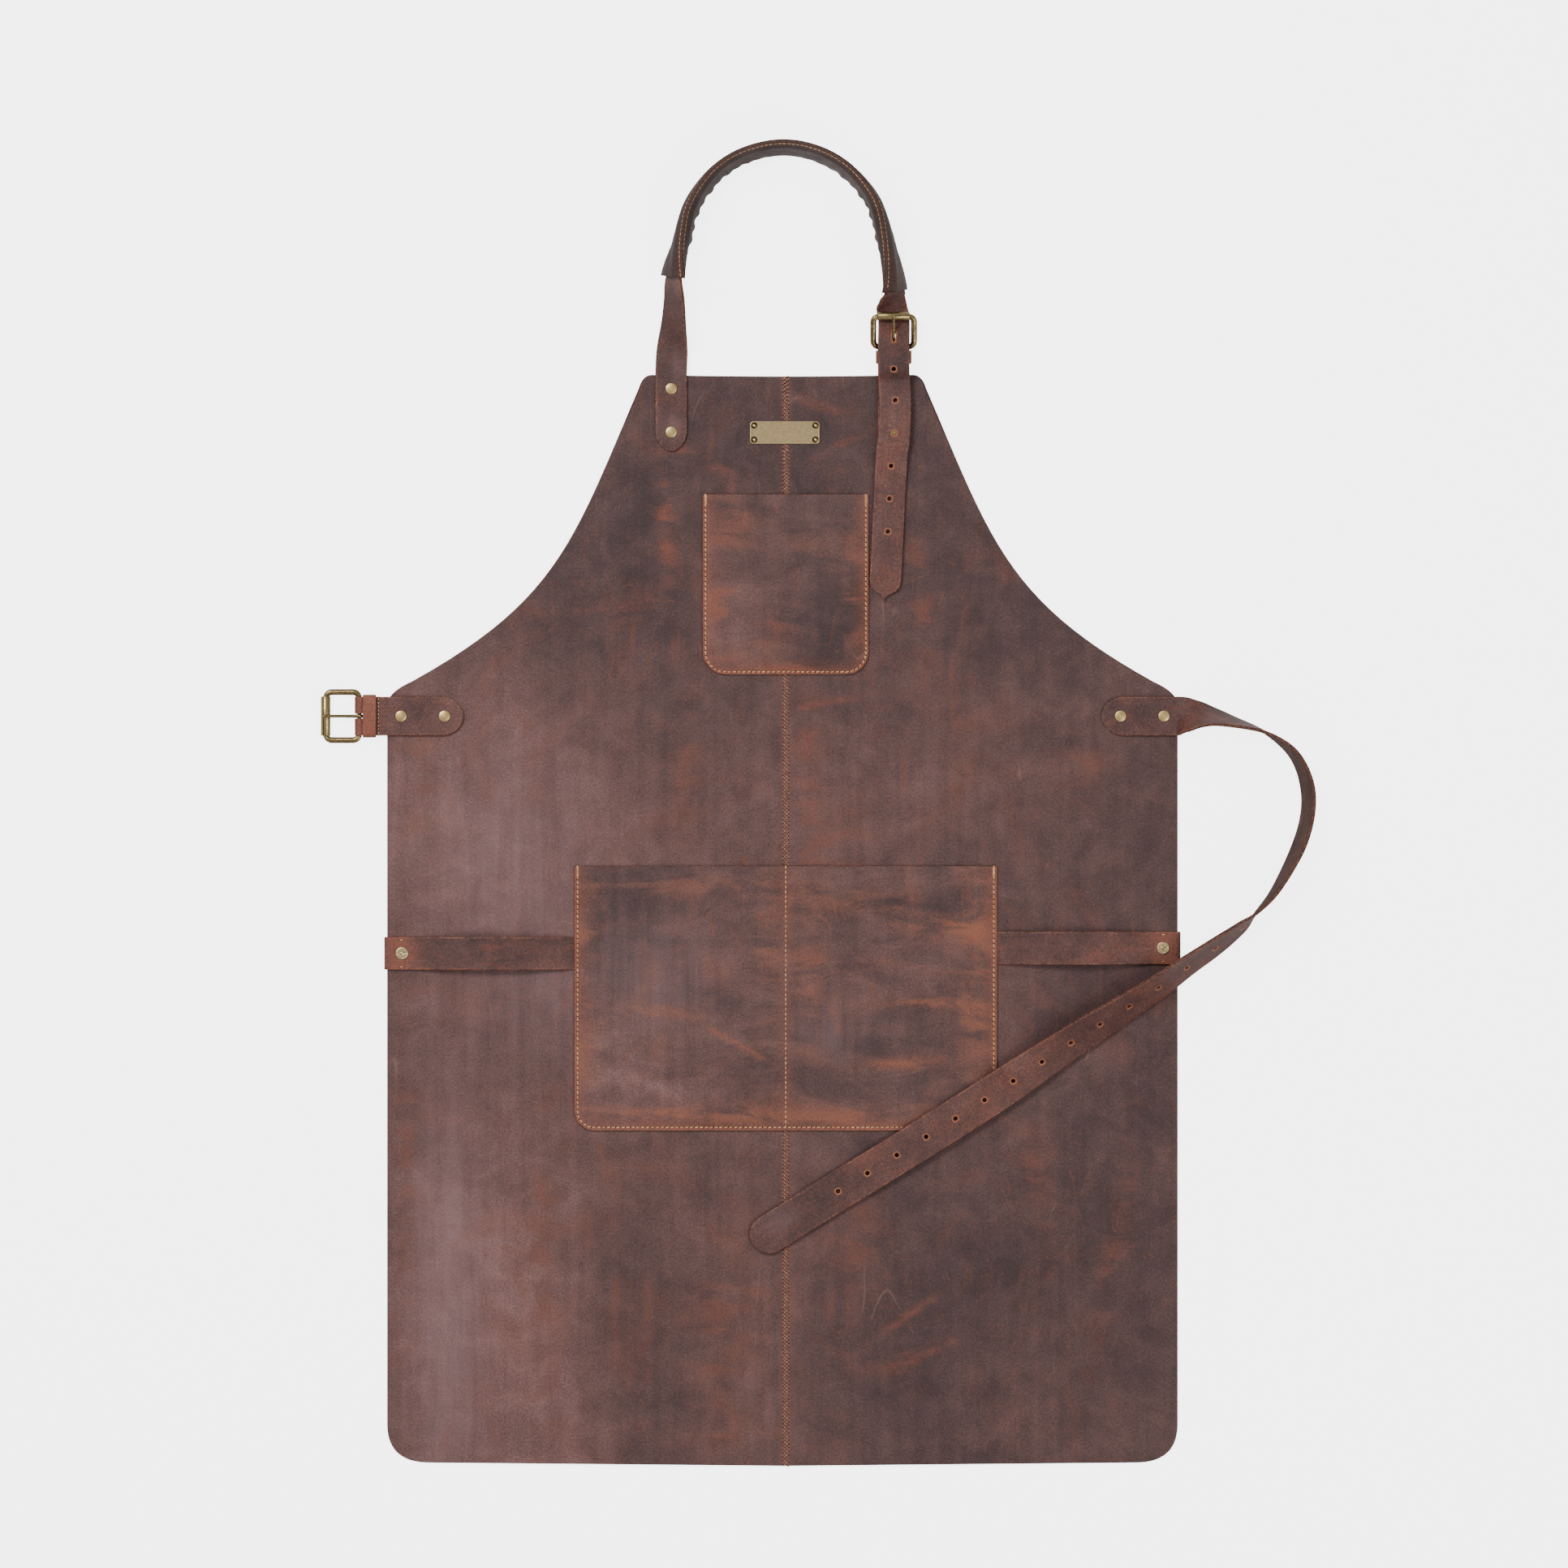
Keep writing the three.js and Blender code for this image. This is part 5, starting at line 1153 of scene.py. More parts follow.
def make_keeper(name, node, width, place, body):
    """A loop round the folded strap, its ends meeting underneath."""
    middle = KEEPER_THICK / 2
    half = width / 2 + 0.4 + middle
    low, high = 0.1 + middle, KEEPER_TOP - middle
    r = 1.5
    corners = [(-0.2, low), (-half + r, low), (-half, low + r), (-half, high - r), (-half + r, high),
               (0, high + 0.15), (half - r, high), (half, high - r), (half, low + r), (half - r, low), (0.2, low)]
    line = rounded(corners, 3)
    path = SidePath(np.column_stack([line, np.full(len(line), KEEPER_THICK)]), None)

    def frame_at(distance):
        v, z, dv, dz = path.sample(distance, 0.3)
        ahead = np.array([0, dv, dz])
        across = np.array([1.0, 0, 0])
        return place(np.array([KEEPER_AT, v, z]), across, np.cross(across, ahead), ahead)

    path.frame = frame_at
    made = ribbon(name, path, lambda d: KEEPER_WIDTH / 2, path.thick, strap_leather, pace=1.0,
                  offset=width * 35, body=body, glow_at=lambda d: 0.9)
    stand_for(made, node, "strap_hide", (KEEPER_WIDTH, path.length), held="folded")


# %% [markdown]
# ### Buckle metal
# The frame is one bent wire, thicker on its two sides. The roller is rolled from sheet, so it has a slit
# along its length. The prong is one wire: an eye bent round the heel bar, then the arm.


# %% Frames, rollers and prongs
def turned(profile, sides=40, start=0.0, sweep=360.0):
    """Points and quads of a profile of (radius, height) turned about Z; open if sweep is under 360."""
    whole = sweep >= 360
    angles = np.radians(start + np.linspace(0, sweep, sides + (0 if whole else 1), endpoint=not whole))
    points = [(r * math.cos(a), r * math.sin(a), h) for a in angles for r, h in profile]
    n, m = len(profile), len(angles)
    faces = []
    for i in range(m if whole else m - 1):
        for k in range(n - 1):
            a, b = i * n + k, ((i + 1) % m) * n + k
            faces.append((a, b, b + 1, a + 1))
    return np.array(points), faces


def tube(centres, radii, flat, sides=20):
    """A closed bar through points, its section set by radii; `flat` squashes it vertically."""
    p = np.array(centres, float)
    ahead = np.gradient(p, axis=0)
    ahead /= np.linalg.norm(ahead, axis=1)[:, None]
    points = []
    for i, (at, t) in enumerate(zip(p, ahead)):
        side = np.array([0, 1.0, 0])
        up = np.cross(t, side)
        h = radii[i] * flat[i]
        for k in range(sides):
            a = 2 * math.pi * k / sides
            points.append(at + side * radii[i] * math.cos(a) + up * h * math.sin(a))
    return np.array(points), barrel(len(p), sides)


def wire_loop(line, radii, squash, sides=20):
    """A closed wire in the XY plane through `line`, whose last point repeats its first."""
    line, radii = line[:-1], radii[:-1]
    ahead = np.roll(line, -1, 0) - np.roll(line, 1, 0)
    ahead /= np.linalg.norm(ahead, axis=1)[:, None]
    points = []
    for (x, y), (ax, ay), r in zip(line, ahead, radii):
        for k in range(sides):
            a = 2 * math.pi * k / sides
            points.append((x + ay * r * math.cos(a), y - ax * r * math.cos(a), r * squash * math.sin(a)))
    n = len(line)
    faces = [(i * sides + k, ((i + 1) % n) * sides + k, ((i + 1) % n) * sides + (k + 1) % sides,
              i * sides + (k + 1) % sides) for i in range(n) for k in range(sides)]
    return np.array(points), faces


def arc(cx, cy, r, a0, a1, count=7):
    """Points on a circle between two angles in degrees."""
    angles = np.radians(np.linspace(a0, a1, count))
    return [(cx + r * math.cos(a), cy + r * math.sin(a)) for a in angles]


# %% Build both buckles
WIRE_END, WIRE_SIDE, WIRE_BEND = 1.75, 2.3, 4.8
SIDE_CLEARANCE = 1.2
ROLLER_BORE = 2.25
ROLLER_SLIT_AT, ROLLER_SWEEP = -63, 355
EYE_RADIUS = 2.7


def build_buckle(prefix, strap_name, strap_node, width, spacing, roller, tilt, x, y, turn):
    """Strap, keeper, frame, roller and prong of one buckle; `spacing` is heel bar to roller bar."""
    place = placer(x, y, turn)
    make_buckle_strap(strap_name, strap_node, width, place)
    make_keeper(f"keeper_{prefix}", f"{prefix}_keeper", width, place, f"{prefix}_keeper_loop")
    side = width / 2 + SIDE_CLEARANCE + WIRE_SIDE
    inner = side - WIRE_BEND
    t = math.radians(tilt)
    spin = np.array([[math.cos(t), 0, -math.sin(t)], [0, 1, 0], [math.sin(t), 0, math.cos(t)]])

    def settle(points):
        moved = points @ spin.T + np.array([HEEL_REACH, 0, HEEL_Z])
        return np.array([place(p)[0] for p in moved])

    # The frame: one wire bent into a rectangle
    loop = []
    for u, v, start in ((spacing - WIRE_BEND, inner, 90), (spacing - WIRE_BEND, -inner, 0),
                        (WIRE_BEND, -inner, -90), (WIRE_BEND, inner, 180)):
        loop += arc(u, v, WIRE_BEND, start, start - 90, 9)
    loop = walk(np.array(loop + loop[:1]), 0.7)
    thick = np.interp(np.abs(loop[:, 1]), [inner, side - 1.2], [WIRE_END, WIRE_SIDE])
    pieces = [("frame", wire_loop(loop, thick, 0.92))]

    # The roller: a sheet bent round its bar, with the slit left open
    h = (width + 0.4) / 2
    bore, mouth = ROLLER_BORE, ROLLER_BORE + 0.25
    sheet = [(bore, -h + 0.3), (mouth, -h), (roller - 0.35, -h), (roller, -h + 0.4), (roller, h - 0.4),
             (roller - 0.35, h), (mouth, h), (bore, h - 0.3), (bore, -h + 0.3)]
    points, faces = turned(sheet, 48, start=ROLLER_SLIT_AT, sweep=ROLLER_SWEEP)
    count = len(sheet) - 1
    faces.append(tuple(reversed(range(count))))
    faces.append(tuple(len(points) - len(sheet) + k for k in range(count)))
    points = np.column_stack([points[:, 0] + spacing, points[:, 2], -points[:, 1]])
    pieces.append(("roller", (points, faces)))

    # The prong: an eye round the heel bar, then an arm that comes to rest on the roller
    rest = roller + 1.65
    slope = (rest - 1.2) / (spacing - 2.6)

    def line(v):
        return 1.2 + slope * (v - 2.6)

    loop = [(x, 0.0, z) for x, z in arc(0, 0, EYE_RADIUS, -8, -262, 26)]
    lifts = [(9.5, 0.25), (spacing - 3, 0), (spacing + 1.2, 0), (spacing + 2.2, -0.1)]
    arm = rounded([(0.0, 0, 2.72), (3.4, 0, 2.55)] + [(v, 0, line(v) + lift) for v, lift in lifts], 3)
    centres = np.vstack([loop, arm])
    along = np.r_[0, np.cumsum(np.linalg.norm(np.diff(centres, axis=0), axis=1))]
    end = along[-1]
    radii = np.interp(along, [0, 14, 20, end - 6, end - 0.8, end], [1.3, 1.3, 1.2, 1.15, 0.95, 0.5])
    flat = np.interp(along, [0, 13, 20, end], [0.58, 0.58, 1.0, 1.0])
    pieces.append(("prong", tube(centres, radii, flat)))
    for word, (points, faces) in pieces:
        made = make_mesh(f"buckle_{prefix}_{word}", settle(points), faces, antique_brass, f"{prefix}_{word}",
                         sharp=48)
        stand_for(made, f"{prefix}_buckle_{word}", "brass")
    print(prefix, "buckle is", round(2 * (side + WIRE_SIDE), 1), "mm wide")


build_buckle("waist", "tab_waist_buckle", "waist_buckle_tab", WAIST_WIDTH, WAIST_SPACING, WAIST_ROLLER,
             WAIST_TILT, -EDGE_X, WAIST_Y, 180)
build_buckle("neck", "strap_neck_buckle", "neck_buckle_strap", NECK_WIDTH, NECK_SPACING, NECK_ROLLER,
             NECK_TILT, NECK_X, TOP_Y, 90)


# %% [markdown]
# ## Towel loops
# Each loop is a short strap: thinned under the pocket's seam, bowed off the body, clamped by a stud, and
# folded round the side edge to the back.


# %% Towel loops
LOOP_BOW = 6.5


def make_loop(word, side, y):
    """A towel loop on the left (side -1) or right (side 1), at height y on the body."""
    inner = 158.0 if side < 0 else 163.0
    start, stop = inner + 3, EDGE_X - 20
    full = LOOP_THICK
    middle = BODY_THICK + full / 2
    bow = [(start + (stop - start) * t, middle + LOOP_BOW * math.sin(math.pi * t), full)
           for t in np.linspace(0, 1, 40)]
    line = [(inner - 4.4, BODY_THICK + 0.45, 0.8), (inner - 0.4, BODY_THICK + 0.45, 0.85)] + bow
    line += [(EDGE_X - 9, middle, full), (EDGE_X - 1, middle, full), (EDGE_X + 0.6, middle - 0.25, 1.9),
             (EDGE_X + 1.4, 1.5, 1.5), (EDGE_X + 0.9, 0.6, 1.1), (EDGE_X - 0.6, 0.42, 0.8),
             (EDGE_X - 22, 0.42, 0.8)]
    path = SidePath(np.array(line), placer(0, y, 0 if side > 0 else 180))
    edge = wavering(LOOP_WIDTH / 2, 0.15, side * 3.0)
    from_stud = np.abs(path.points[:, 0] - (EDGE_X - STUD_IN)) + (path.points[:, 1] < 2) * 99
    stud_at = path.at[np.argmin(from_stud)]
    made = ribbon(f"loop_{word}", path, edge, path.thick, strap_leather, pace=2.5, offset=400 + side * 150,
                  dense=np.arange(path.length - 28, path.length - 20, 0.5),
                  glow_at=lambda d: 0.75 * math.exp(-(((d - stud_at) / 13) ** 2)))
    stand_for(made, f"towel_loop_{word}", "strap_hide", (LOOP_WIDTH, path.length), held="folded")
    print(word, "towel loop is", round(path.length, 1), "mm long")


for word, (side, y) in LOOPS.items():
    make_loop(word, side, y)


# %% [markdown]
# ## Rivets, studs and the name plate
# Domed caps hold the straps, screw studs hold the loops, and four pins in eyelets hold the plate. Each is
# set down on its CAD node.


# %% Caps, studs, plate
def node_foot(node):
    """The middle of a node's box in x and y, and its lowest height."""
    low, high = (np.array(corner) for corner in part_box(node))
    x, y, _ = (low + high) / 2 / MM
    return x, y, (low / MM)[2]


def set_down(name, node, shape, material):
    points, faces = shape
    made = make_mesh(name, points + np.array(node_foot(node)), faces, material, sharp=40)
    return stand_for(made, node, "pale_brass")


def dome(radius, height):
    """A pressed cap: rolled rim and shallow dome."""
    profile = [(0, 0.05), (radius - 0.6, 0.05), (radius - 0.15, 0.15), (radius, 0.45), (radius - 0.12, 0.7)]
    profile += [(radius * f, 0.8 + (height - 0.8) * (1 - f**2)) for f in (0.9, 0.8, 0.68, 0.55, 0.4, 0.25, 0.1)]
    return turned(profile + [(0, height)], 48)


def crossed_head(radius, height):
    """A flat disc with four narrow arms sunk in it and a raised ring in the middle."""
    rings = [0.0, 0.45, 0.75, 1.0, 1.3, 1.6, 2.2, 2.8, 3.3, 3.7]
    rings += [radius - 0.35, radius - 0.08, radius, radius - 0.1]
    levels = [0.16, 0.14, 0.10, -0.12, -0.04, 0, 0, 0, 0, 0, 0, -0.14, -0.5, -1.1]
    sides = 96
    points = [(0, 0, height + levels[0])]
    for r, level in zip(rings[1:], levels[1:]):
        for k in range(sides):
            a = 2 * math.pi * k / sides + math.radians(8)
            x, y = r * math.cos(a), r * math.sin(a)
            off = min(abs(r * math.sin(2 * math.pi * k / sides)), abs(r * math.cos(2 * math.pi * k / sides)))
            arm = math.exp(-((off / 0.38) ** 4)) if 1.2 < r < 3.6 else 0
            points.append((x, y, height + level - 0.35 * arm))
    faces = [(0, 1 + k, 1 + (k + 1) % sides) for k in range(sides)]
    for i in range(len(rings) - 2):
        for k in range(sides):
            n = (k + 1) % sides
            a, b = 1 + i * sides, 1 + (i + 1) * sides
            faces.append((a + k, b + k, b + n, a + n))
    return np.array(points), faces


for strap in ("neck_left", "neck_right", "waist_left", "waist_right"):
    for number in (1, 2):
        set_down(f"cap_{strap}_{number}", f"{strap}_rivet_{number}_cap", dome(CAP_RADIUS, CAP_HEIGHT),
                 pale_brass)
for word in LOOPS:
    set_down(f"stud_{word}", f"loop_{word}_stud_head", crossed_head(STUD_RADIUS, STUD_HEIGHT), stud_brass)
for number in (1, 2, 3, 4):
    node = f"name_plate_pin_{number}"
    at = np.array([*node_foot(node)[:2], 0])
    pin = turned([(0, 0.35), (0.75, 0.35), (0.75, 2.86), (0.95, 2.9), (0.92, 3.15), (0.6, 3.36), (0, 3.45)], 32)
    stand_for(make_mesh(f"pin_{number}", pin[0] + at, pin[1], stud_brass, sharp=40), node, "pale_brass")
    ring = turned([(0.8, 2.84), (1.6, 2.86), (1.9, 2.98), (2.15, 3.08), (2.4, 3.0), (2.5, 2.84)], 40)
    make_mesh(f"eyelet_{number}", ring[0] + at, ring[1], painted_eyelet_shade, sharp=60)


def make_plate():
    """A blank pressed plate with a rolled edge."""
    x, y, low = node_foot("name_plate")
    (w, h), r = PLATE_HALF, PLATE_CORNER
    outline = arc(w - r, -h + r, r, -90, 0) + arc(w - r, h - r, r, 0, 90)
    outline += arc(-w + r, h - r, r, 90, 180) + arc(-w + r, -h + r, r, 180, 270)
    rim = np.array(outline)
    ahead = np.roll(rim, -1, 0) - np.roll(rim, 1, 0)
    out = np.stack([ahead[:, 1], -ahead[:, 0]], 1)
    out /= np.linalg.norm(out, axis=1)[:, None]
    loops = [(0.1, 0.0), (0.0, 0.15), (0.0, 0.6), (0.25, 0.92), (0.6, 1.0), (0.95, 0.95), (1.1, 0.84)]
    points = [(*(p - o * inset), z) for inset, z in loops for p, o in zip(rim, out)]
    points = np.array(points) + np.array([x, y, low + 0.02])
    made = make_mesh("plate_name", points, barrel(len(loops), len(rim)), plate_brass, sharp=35)
    stand_for(made, "name_plate", "brass")
    print("the plate is", 2 * w, "by", 2 * h, "mm")


make_plate()
# CAD nodes that nothing replaces, such as the posts inside the leather, show as they are
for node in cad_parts.values():
    if not node.hide_render:
        node.data.materials.clear()
        node.data.materials.append(antique_brass)


# %% [markdown]
# ## Stitches
# All the sewing comes from one Geometry Nodes group. It walks a line, lays one arched piece of thread at
# each pitch and puts a near-black disc of painted shade for a needle hole at both of its ends. A zigzag is the
# same row with the thread
# turned one way on even stitches and the other way on odd ones.


# %% Stitch node group
def stitch_group():
    group = bpy.data.node_groups.new("Stitch Row", "GeometryNodeTree")
    face = group.interface
    face.new_socket("Line", in_out="INPUT", socket_type="NodeSocketGeometry")
    for name, value in (("Pitch", 0.0037), ("Thread Length", 0.0034), ("Thread Radius", 0.0003),
                        ("Slant", 0.0), ("Hole Reach", 0.0018), ("Hole Radius", 0.0004), ("Jitter", 0.08)):
        socket = face.new_socket(name, in_out="INPUT", socket_type="NodeSocketFloat")
        socket.default_value = value
    face.new_socket("Alternate", in_out="INPUT", socket_type="NodeSocketBool")
    face.new_socket("Seed", in_out="INPUT", socket_type="NodeSocketInt")
    face.new_socket("Thread", in_out="INPUT", socket_type="NodeSocketMaterial")
    face.new_socket("Hole", in_out="INPUT", socket_type="NodeSocketMaterial")
    face.new_socket("Stitches", in_out="OUTPUT", socket_type="NodeSocketGeometry")
    nodes, links = group.nodes, group.links
    source = nodes.new("NodeGroupInput").outputs
    graph = Graph(group)
    put, wire, times = graph.node, graph.plug, graph.times

    # One stitch: an arch along X whose ends dive into the leather
    half = times(source["Thread Length"], 0.5)
    radius = source["Thread Radius"]
    sunk = times(radius, -1.6)
    start = put("ShaderNodeCombineXYZ", X=times(half, -1.0), Z=sunk).outputs[0]
    end = put("ShaderNodeCombineXYZ", X=half, Z=sunk).outputs[0]
    middle = put("ShaderNodeCombineXYZ", Z=times(radius, 2.6)).outputs[0]
    arch = put("GeometryNodeCurveQuadraticBezier", Resolution=7, Start=start, Middle=middle, End=end)
    ring = put("GeometryNodeCurvePrimitiveCircle", Resolution=7, Radius=radius)
    thread = put("GeometryNodeCurveToMesh", Curve=arch.outputs[0], Profile_Curve=ring.outputs[0])
    wire(thread.inputs["Fill Caps"], True)
    thread = put("GeometryNodeSetMaterial", Geometry=thread.outputs[0], Material=source["Thread"])

    # A needle hole at each end: a flat near-black lens of painted shade
    lens = put("GeometryNodeMeshUVSphere", Segments=10, Rings=5, Radius=source["Hole Radius"])
    lens = put("GeometryNodeSetMaterial", Geometry=lens.outputs[0], Material=source["Hole"])
    ends = []
    for sign in (-1.0, 1.0):
        shift = put("ShaderNodeCombineXYZ", X=times(source["Hole Reach"], sign)).outputs[0]
        moved = put("GeometryNodeTransform", Geometry=lens.outputs[0], Translation=shift)
        wire(moved.inputs["Scale"], (1.0, 0.85, 0.3))
        ends.append(moved.outputs[0])
    whole = nodes.new("GeometryNodeJoinGeometry")
    for part in (thread.outputs[0], *ends):
        links.new(part, whole.inputs[0])

    # The row: a point every pitch, its X along the line and its Z out of the leather
    line = put("GeometryNodeMeshToCurve", Mesh=source["Line"])
    row = put("GeometryNodeResampleCurve", {"mode": "LENGTH"}, Curve=line.outputs[0], Length=source["Pitch"])
    tangent = nodes.new("GeometryNodeInputTangent").outputs[0]
    up = put("GeometryNodeInputNamedAttribute", {"data_type": "FLOAT_VECTOR"}, Name="up").outputs[0]
    along = put("FunctionNodeAlignRotationToVector", {"axis": "X"}, Vector=tangent)
    stood = put("FunctionNodeAlignRotationToVector", {"axis": "Z", "pivot_axis": "X"},
                Rotation=along.outputs[0], Vector=up)
    index = nodes.new("GeometryNodeInputIndex").outputs[0]
    odd = times(graph.math("MODULO", index, 2.0), source["Alternate"])
    sign = graph.math("SUBTRACT", 1.0, times(odd, 2.0))
    wobble = put("FunctionNodeRandomValue", {"data_type": "FLOAT"}, Seed=source["Seed"])
    low, high = [s for s in wobble.inputs if s.enabled and s.name in ("Min", "Max")]
    wire(low, times(source["Jitter"], -1.0))
    wire(high, source["Jitter"])
    shaken = next(s for s in wobble.outputs if s.enabled)
    turn = graph.math("ADD", times(source["Slant"], sign), shaken)
    twist = put("FunctionNodeEulerToRotation")
    wire(twist.inputs[0], put("ShaderNodeCombineXYZ", Z=turn).outputs[0])
    turned_row = put("FunctionNodeRotateRotation", {"rotation_space": "LOCAL"}, Rotation=stood.outputs[0],
                     Rotate_By=twist.outputs[0])
    placed = put("GeometryNodeInstanceOnPoints", Points=row.outputs[0], Instance=whole.outputs[0],
                 Rotation=turned_row.outputs[0])
    real = put("GeometryNodeRealizeInstances", Geometry=placed.outputs[0])
    smooth_it = put("GeometryNodeSetShadeSmooth", Geometry=real.outputs[0])
    links.new(smooth_it.outputs[0], nodes.new("NodeGroupOutput").inputs[0])
    return group


STITCHES = stitch_group()
POCKET_PITCH = 0.0037  # metres, as all the group's inputs
FOLD_ROW_AT = (6.4, 6.04)  # along the buckle and up
TACK_OUT = 10.2


def stitch_row(name, points, ups, thread=tan_thread, body="apron", **inputs):
    """Sews along points (mm) with the leather's outward direction at each. Inputs are the group's; an
    underscore in a name stands for a space."""
    mesh = bpy.data.meshes.new(name)
    points = np.asarray(points, float)
    mesh.from_pydata((points * MM).tolist(), [(i, i + 1) for i in range(len(points) - 1)], [])
    stored = mesh.attributes.new("up", "FLOAT_VECTOR", "POINT")
    stored.data.foreach_set("vector", np.asarray(ups, np.float32).ravel())
    source = bpy.data.objects.new(name + "_line", mesh)
    bpy.context.scene.collection.objects.link(source)
    modifier = source.modifiers.new("Stitches", "NODES")
    modifier.node_group = STITCHES
    values = {"Thread": thread, "Hole": painted_hole_shade, "Seed": 3, "Alternate": False}
    values |= {key.replace("_", " "): value for key, value in inputs.items()}
    for item in STITCHES.interface.items_tree:
        if item.in_out == "INPUT" and item.name in values:
            modifier[item.identifier] = values[item.name]
    bpy.context.view_layer.update()
    sewn = source.evaluated_get(bpy.context.evaluated_depsgraph_get())
    made_mesh = bpy.data.meshes.new_from_object(sewn)
    made_mesh.name = name
    bpy.data.objects.remove(source)
    made = bpy.data.objects.new(name, made_mesh)
    bpy.context.scene.collection.objects.link(made)
    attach(made, body)


# %% [markdown]
# ### Rows
# The centre seam, the pockets, the sleeve's flange, the folds behind the buckles, and the bar tacks that hold
# the towel loops and the pocket corners.


# %% Sew everything
def on_plan(xy, height, lift=0.05):
    xy = np.asarray(xy, float)
    z = height(xy[:, 0], xy[:, 1]) + lift
    return np.column_stack([xy, z]), np.tile((0, 0, 1.0), (len(xy), 1))


def body_top(x, y):
    return BODY_THICK + ground(x, y)


def sew_seam():
    spans = [(-413.5, -160.4), (42.0, 185.8), (324.0, 360.6), (379.8, 412.3)]
    for number, (y0, y1) in enumerate(spans, 1):
        line = walk(np.array([(SEAM_X, y0), (SEAM_X, y1)]), 4.0)
        points, ups = on_plan(line, body_top, 0.02)
        stitch_row(f"seam_{number}", points, ups, rust_thread, Pitch=0.0014, Thread_Length=0.0042,
                   Thread_Radius=0.00042, Slant=math.radians(71), Alternate=True, Hole_Reach=0.0020,
                   Hole_Radius=0.00048, Jitter=0.07, Seed=number)
        for word, dx, shift in (("left", -2.2, 0.7), ("right", 2.2, -0.7)):
            line = walk(np.array([(SEAM_X + dx, y0 + 1.4 + shift), (SEAM_X + dx, y1 - 1.4)]), 4.0)
            points, ups = on_plan(line, body_top, 0.02)
            stitch_row(f"seam_{word}_{number}", points, ups, rust_thread, Pitch=0.0028, Thread_Length=0.0022,
                       Thread_Radius=0.00034, Hole_Reach=0.0014, Hole_Radius=0.00046, Jitter=0.12, Seed=number)


def pocket_line(pocket, inset):
    x0, x1 = pocket["x0"] + inset, pocket["x1"] - inset
    y0, y1 = pocket["y0"] + inset, pocket["y1"] - 1.2
    r, q = (corner - inset for corner in pocket["corners"])
    line = [(x0, y1)] + arc(x0 + r, y0 + r, r, 180, 270, 12) + arc(x1 - q, y0 + q, q, 270, 360, 12) + [(x1, y1)]
    return walk(np.array(line), 1.0)


def sew_pocket(word, pocket, inset, top):
    """A row round three sides of a pocket and a bar tack at each end of it."""
    points, ups = on_plan(pocket_line(pocket, inset), top, 0.06)
    stitch_row(f"stitches_{word}", points, ups, Pitch=POCKET_PITCH, Thread_Length=POCKET_PITCH * 0.86,
               Thread_Radius=0.00050, Hole_Reach=POCKET_PITCH / 2, Hole_Radius=0.00046, Slant=math.radians(10))
    for side, x in (("left", pocket["x0"] + inset), ("right", pocket["x1"] - inset)):
        line = np.array([(x, pocket["y1"] - 7.5), (x, pocket["y1"] - 0.6)])
        points, ups = on_plan(walk(line, 1.0), top, 0.12)
        stitch_row(f"tack_{word}_{side}", points, ups, Pitch=0.0007, Thread_Length=0.0022,
                   Thread_Radius=0.00032, Hole_Reach=0.0011, Hole_Radius=0.0003, Slant=math.radians(80),
                   Jitter=0.2)


sew_seam()
sew_pocket("chest", CHEST, CHEST_INSET, chest_top)
sew_pocket("lower", LOWER, LOWER_INSET, lower_top)
divider = walk(np.array([(SEAM_X, LOWER["y0"] + 3.2), (SEAM_X, LOWER["y1"] - 1)]), 1.0)
stitch_row("stitches_divider", *on_plan(divider, lower_top, 0.06), Pitch=POCKET_PITCH, Thread_Length=0.0031,
           Thread_Radius=0.00044, Hole_Reach=0.00185, Hole_Radius=0.00048)


def sew_sleeve():
    for word, sign in (("outer", 1), ("inner", -1)):
        points, ups = [], []
        for d in np.arange(sleeve_from + 2.5, sleeve_to - 2.5, 1.5):
            at, across, normal, ahead = neck.frame(d)
            points.append(at + across * 14.9 + normal * sign * 1.55)
            ups.append(normal * sign)
        stitch_row(f"stitches_sleeve_{word}", points, ups, Pitch=0.0034, Thread_Length=0.0031,
                   Thread_Radius=0.00027, Hole_Reach=0.0017, Hole_Radius=0.00032)


def sew_across(name, place, u, z, width, lift=0.05):
    ends = [place(np.array([u, v, z + lift]))[0] for v in np.linspace(-width / 2 + 2, width / 2 - 2, 12)]
    stitch_row(name, ends, np.tile((0, 0, 1.0), (len(ends), 1)), Pitch=0.0026, Thread_Length=0.0022,
               Thread_Radius=0.00036, Hole_Reach=0.0013, Hole_Radius=0.0004)


def sew_tack(name, x, y, angle, z):
    turn = math.radians(angle)
    line = np.array([(x + d * math.cos(turn), y + d * math.sin(turn)) for d in (-0.4, 0.4)])
    points = np.column_stack([line, [z, z]])
    stitch_row(name, points, np.tile((0, 0, 1.0), (2, 1)), Pitch=0.0008, Thread_Length=0.0022,
               Thread_Radius=0.00042, Hole_Reach=0.0013, Hole_Radius=0.0005)


sew_sleeve()
sew_across("stitches_waist_fold", placer(-EDGE_X, WAIST_Y, 180), *FOLD_ROW_AT, WAIST_WIDTH)
sew_across("stitches_neck_fold", placer(NECK_X, TOP_Y, 90), *FOLD_ROW_AT, NECK_WIDTH)
for word, (side, y) in LOOPS.items():
    for place_word, dy in (("upper", TACK_OUT), ("lower", -TACK_OUT)):
        sew_tack(f"tack_loop_{word}_{place_word}", side * (EDGE_X - STUD_IN), y + dy, 4,
                 BODY_THICK + LOOP_THICK + 0.04)


# %% [markdown]
# ## Floor, light and camera
# A white sweep lit evenly from above, as for a catalogue picture, with one larger soft light from the upper
# left that gives the leather its sheen. The camera looks straight down through a long lens.


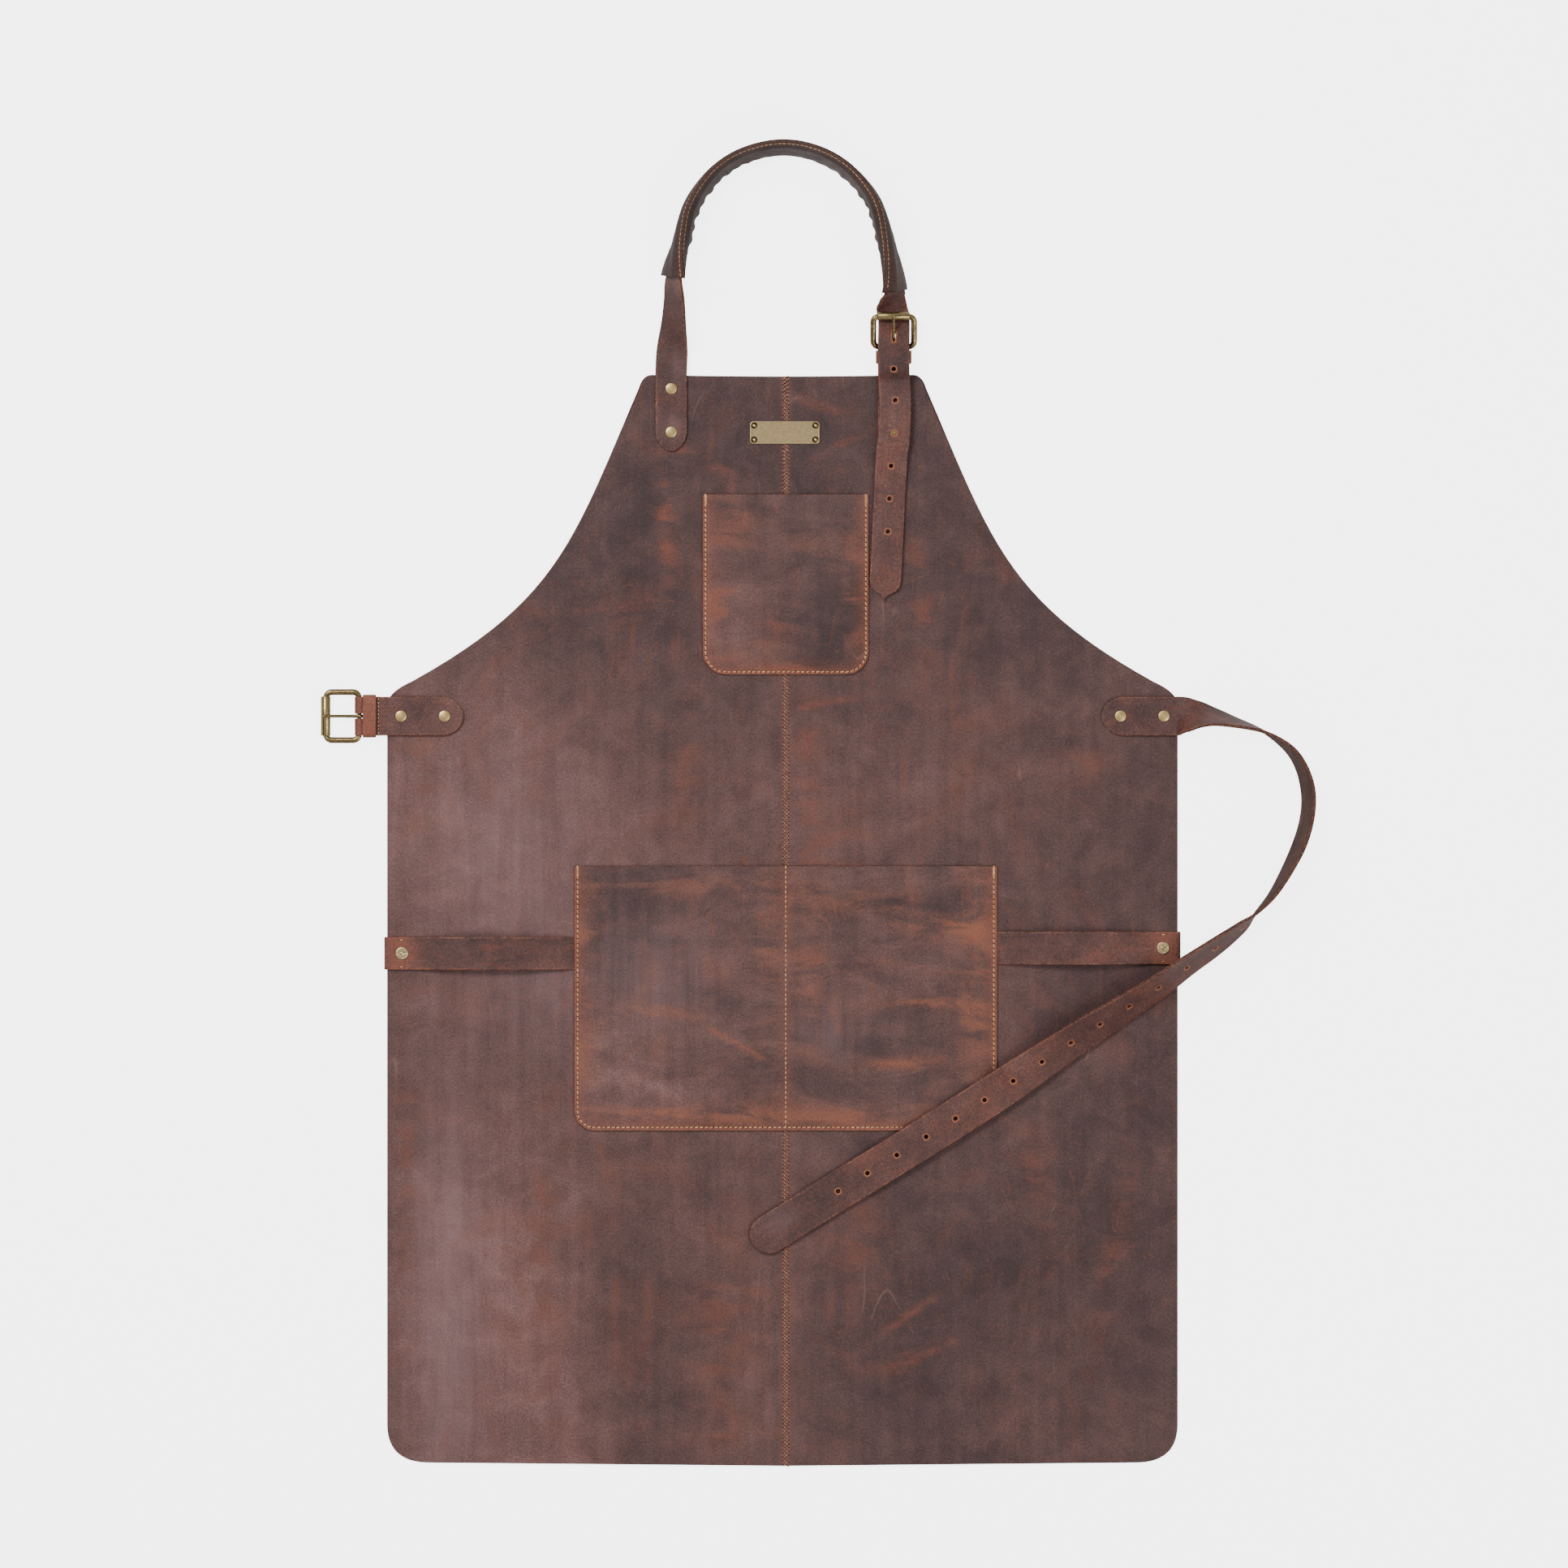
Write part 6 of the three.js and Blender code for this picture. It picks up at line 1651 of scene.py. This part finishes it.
# %% Stage
floor_shader = Shader("white_sweep")
lit = floor_shader.math("MULTIPLY", floor_shader.node("ShaderNodeLightPath").outputs["Is Camera Ray"], 4.0)
floor_material = floor_shader.finish(Base_Color=linear("#f6f6f6"), Roughness=0.9,
                                     Emission_Color=linear("#ffffff"), Emission_Strength=lit)
FLOOR_HALF, FLOOR_Z = 6.0, -0.0002
floor_mesh = bpy.data.meshes.new("floor")
corners = [(x * FLOOR_HALF, y * FLOOR_HALF, FLOOR_Z) for x, y in ((-1, -1), (1, -1), (1, 1), (-1, 1))]
floor_mesh.from_pydata(corners, [], [(0, 1, 2, 3)])
floor_mesh.materials.append(floor_material)
floor = bpy.data.objects.new("floor", floor_mesh)
bpy.context.scene.collection.objects.link(floor)

world = bpy.data.worlds.new("studio")
bpy.context.scene.world = world
world.use_nodes = True
world.node_tree.nodes["Background"].inputs["Color"].default_value = (1, 1, 1, 1)
world.node_tree.nodes["Background"].inputs["Strength"].default_value = 0.5


def soft_light(name, place, target, width, power):
    data = bpy.data.lights.new(name, "AREA")
    data.shape, data.size, data.energy = "DISK", width, power
    made = bpy.data.objects.new(name, data)
    bpy.context.scene.collection.objects.link(made)
    made.location = place
    made.rotation_mode = "QUATERNION"
    made.rotation_quaternion = (Vector(target) - Vector(place)).to_track_quat("-Z", "Y")


soft_light("key", (-1.3, 1.4, 2.4), (0, 0.05, 0), 1.2, 62)
soft_light("fill", (1.6, -0.9, 2.4), (0, 0.1, 0), 1.8, 36)

# Metres across the picture, and the lens and sensor in millimetres
PICTURE_WIDTH = 1.190
LENS, SENSOR = 450, 36
camera_data = bpy.data.cameras.new("camera")
camera_data.lens, camera_data.sensor_width = LENS, SENSOR
camera = bpy.data.objects.new("camera", camera_data)
bpy.context.scene.collection.objects.link(camera)
camera.location = (0.0012, 0.1035, PICTURE_WIDTH * LENS / SENSOR)
camera.rotation_euler = (0, 0, 0)
camera_data.clip_start, camera_data.clip_end = 0.1, 50
bpy.context.scene.camera = camera
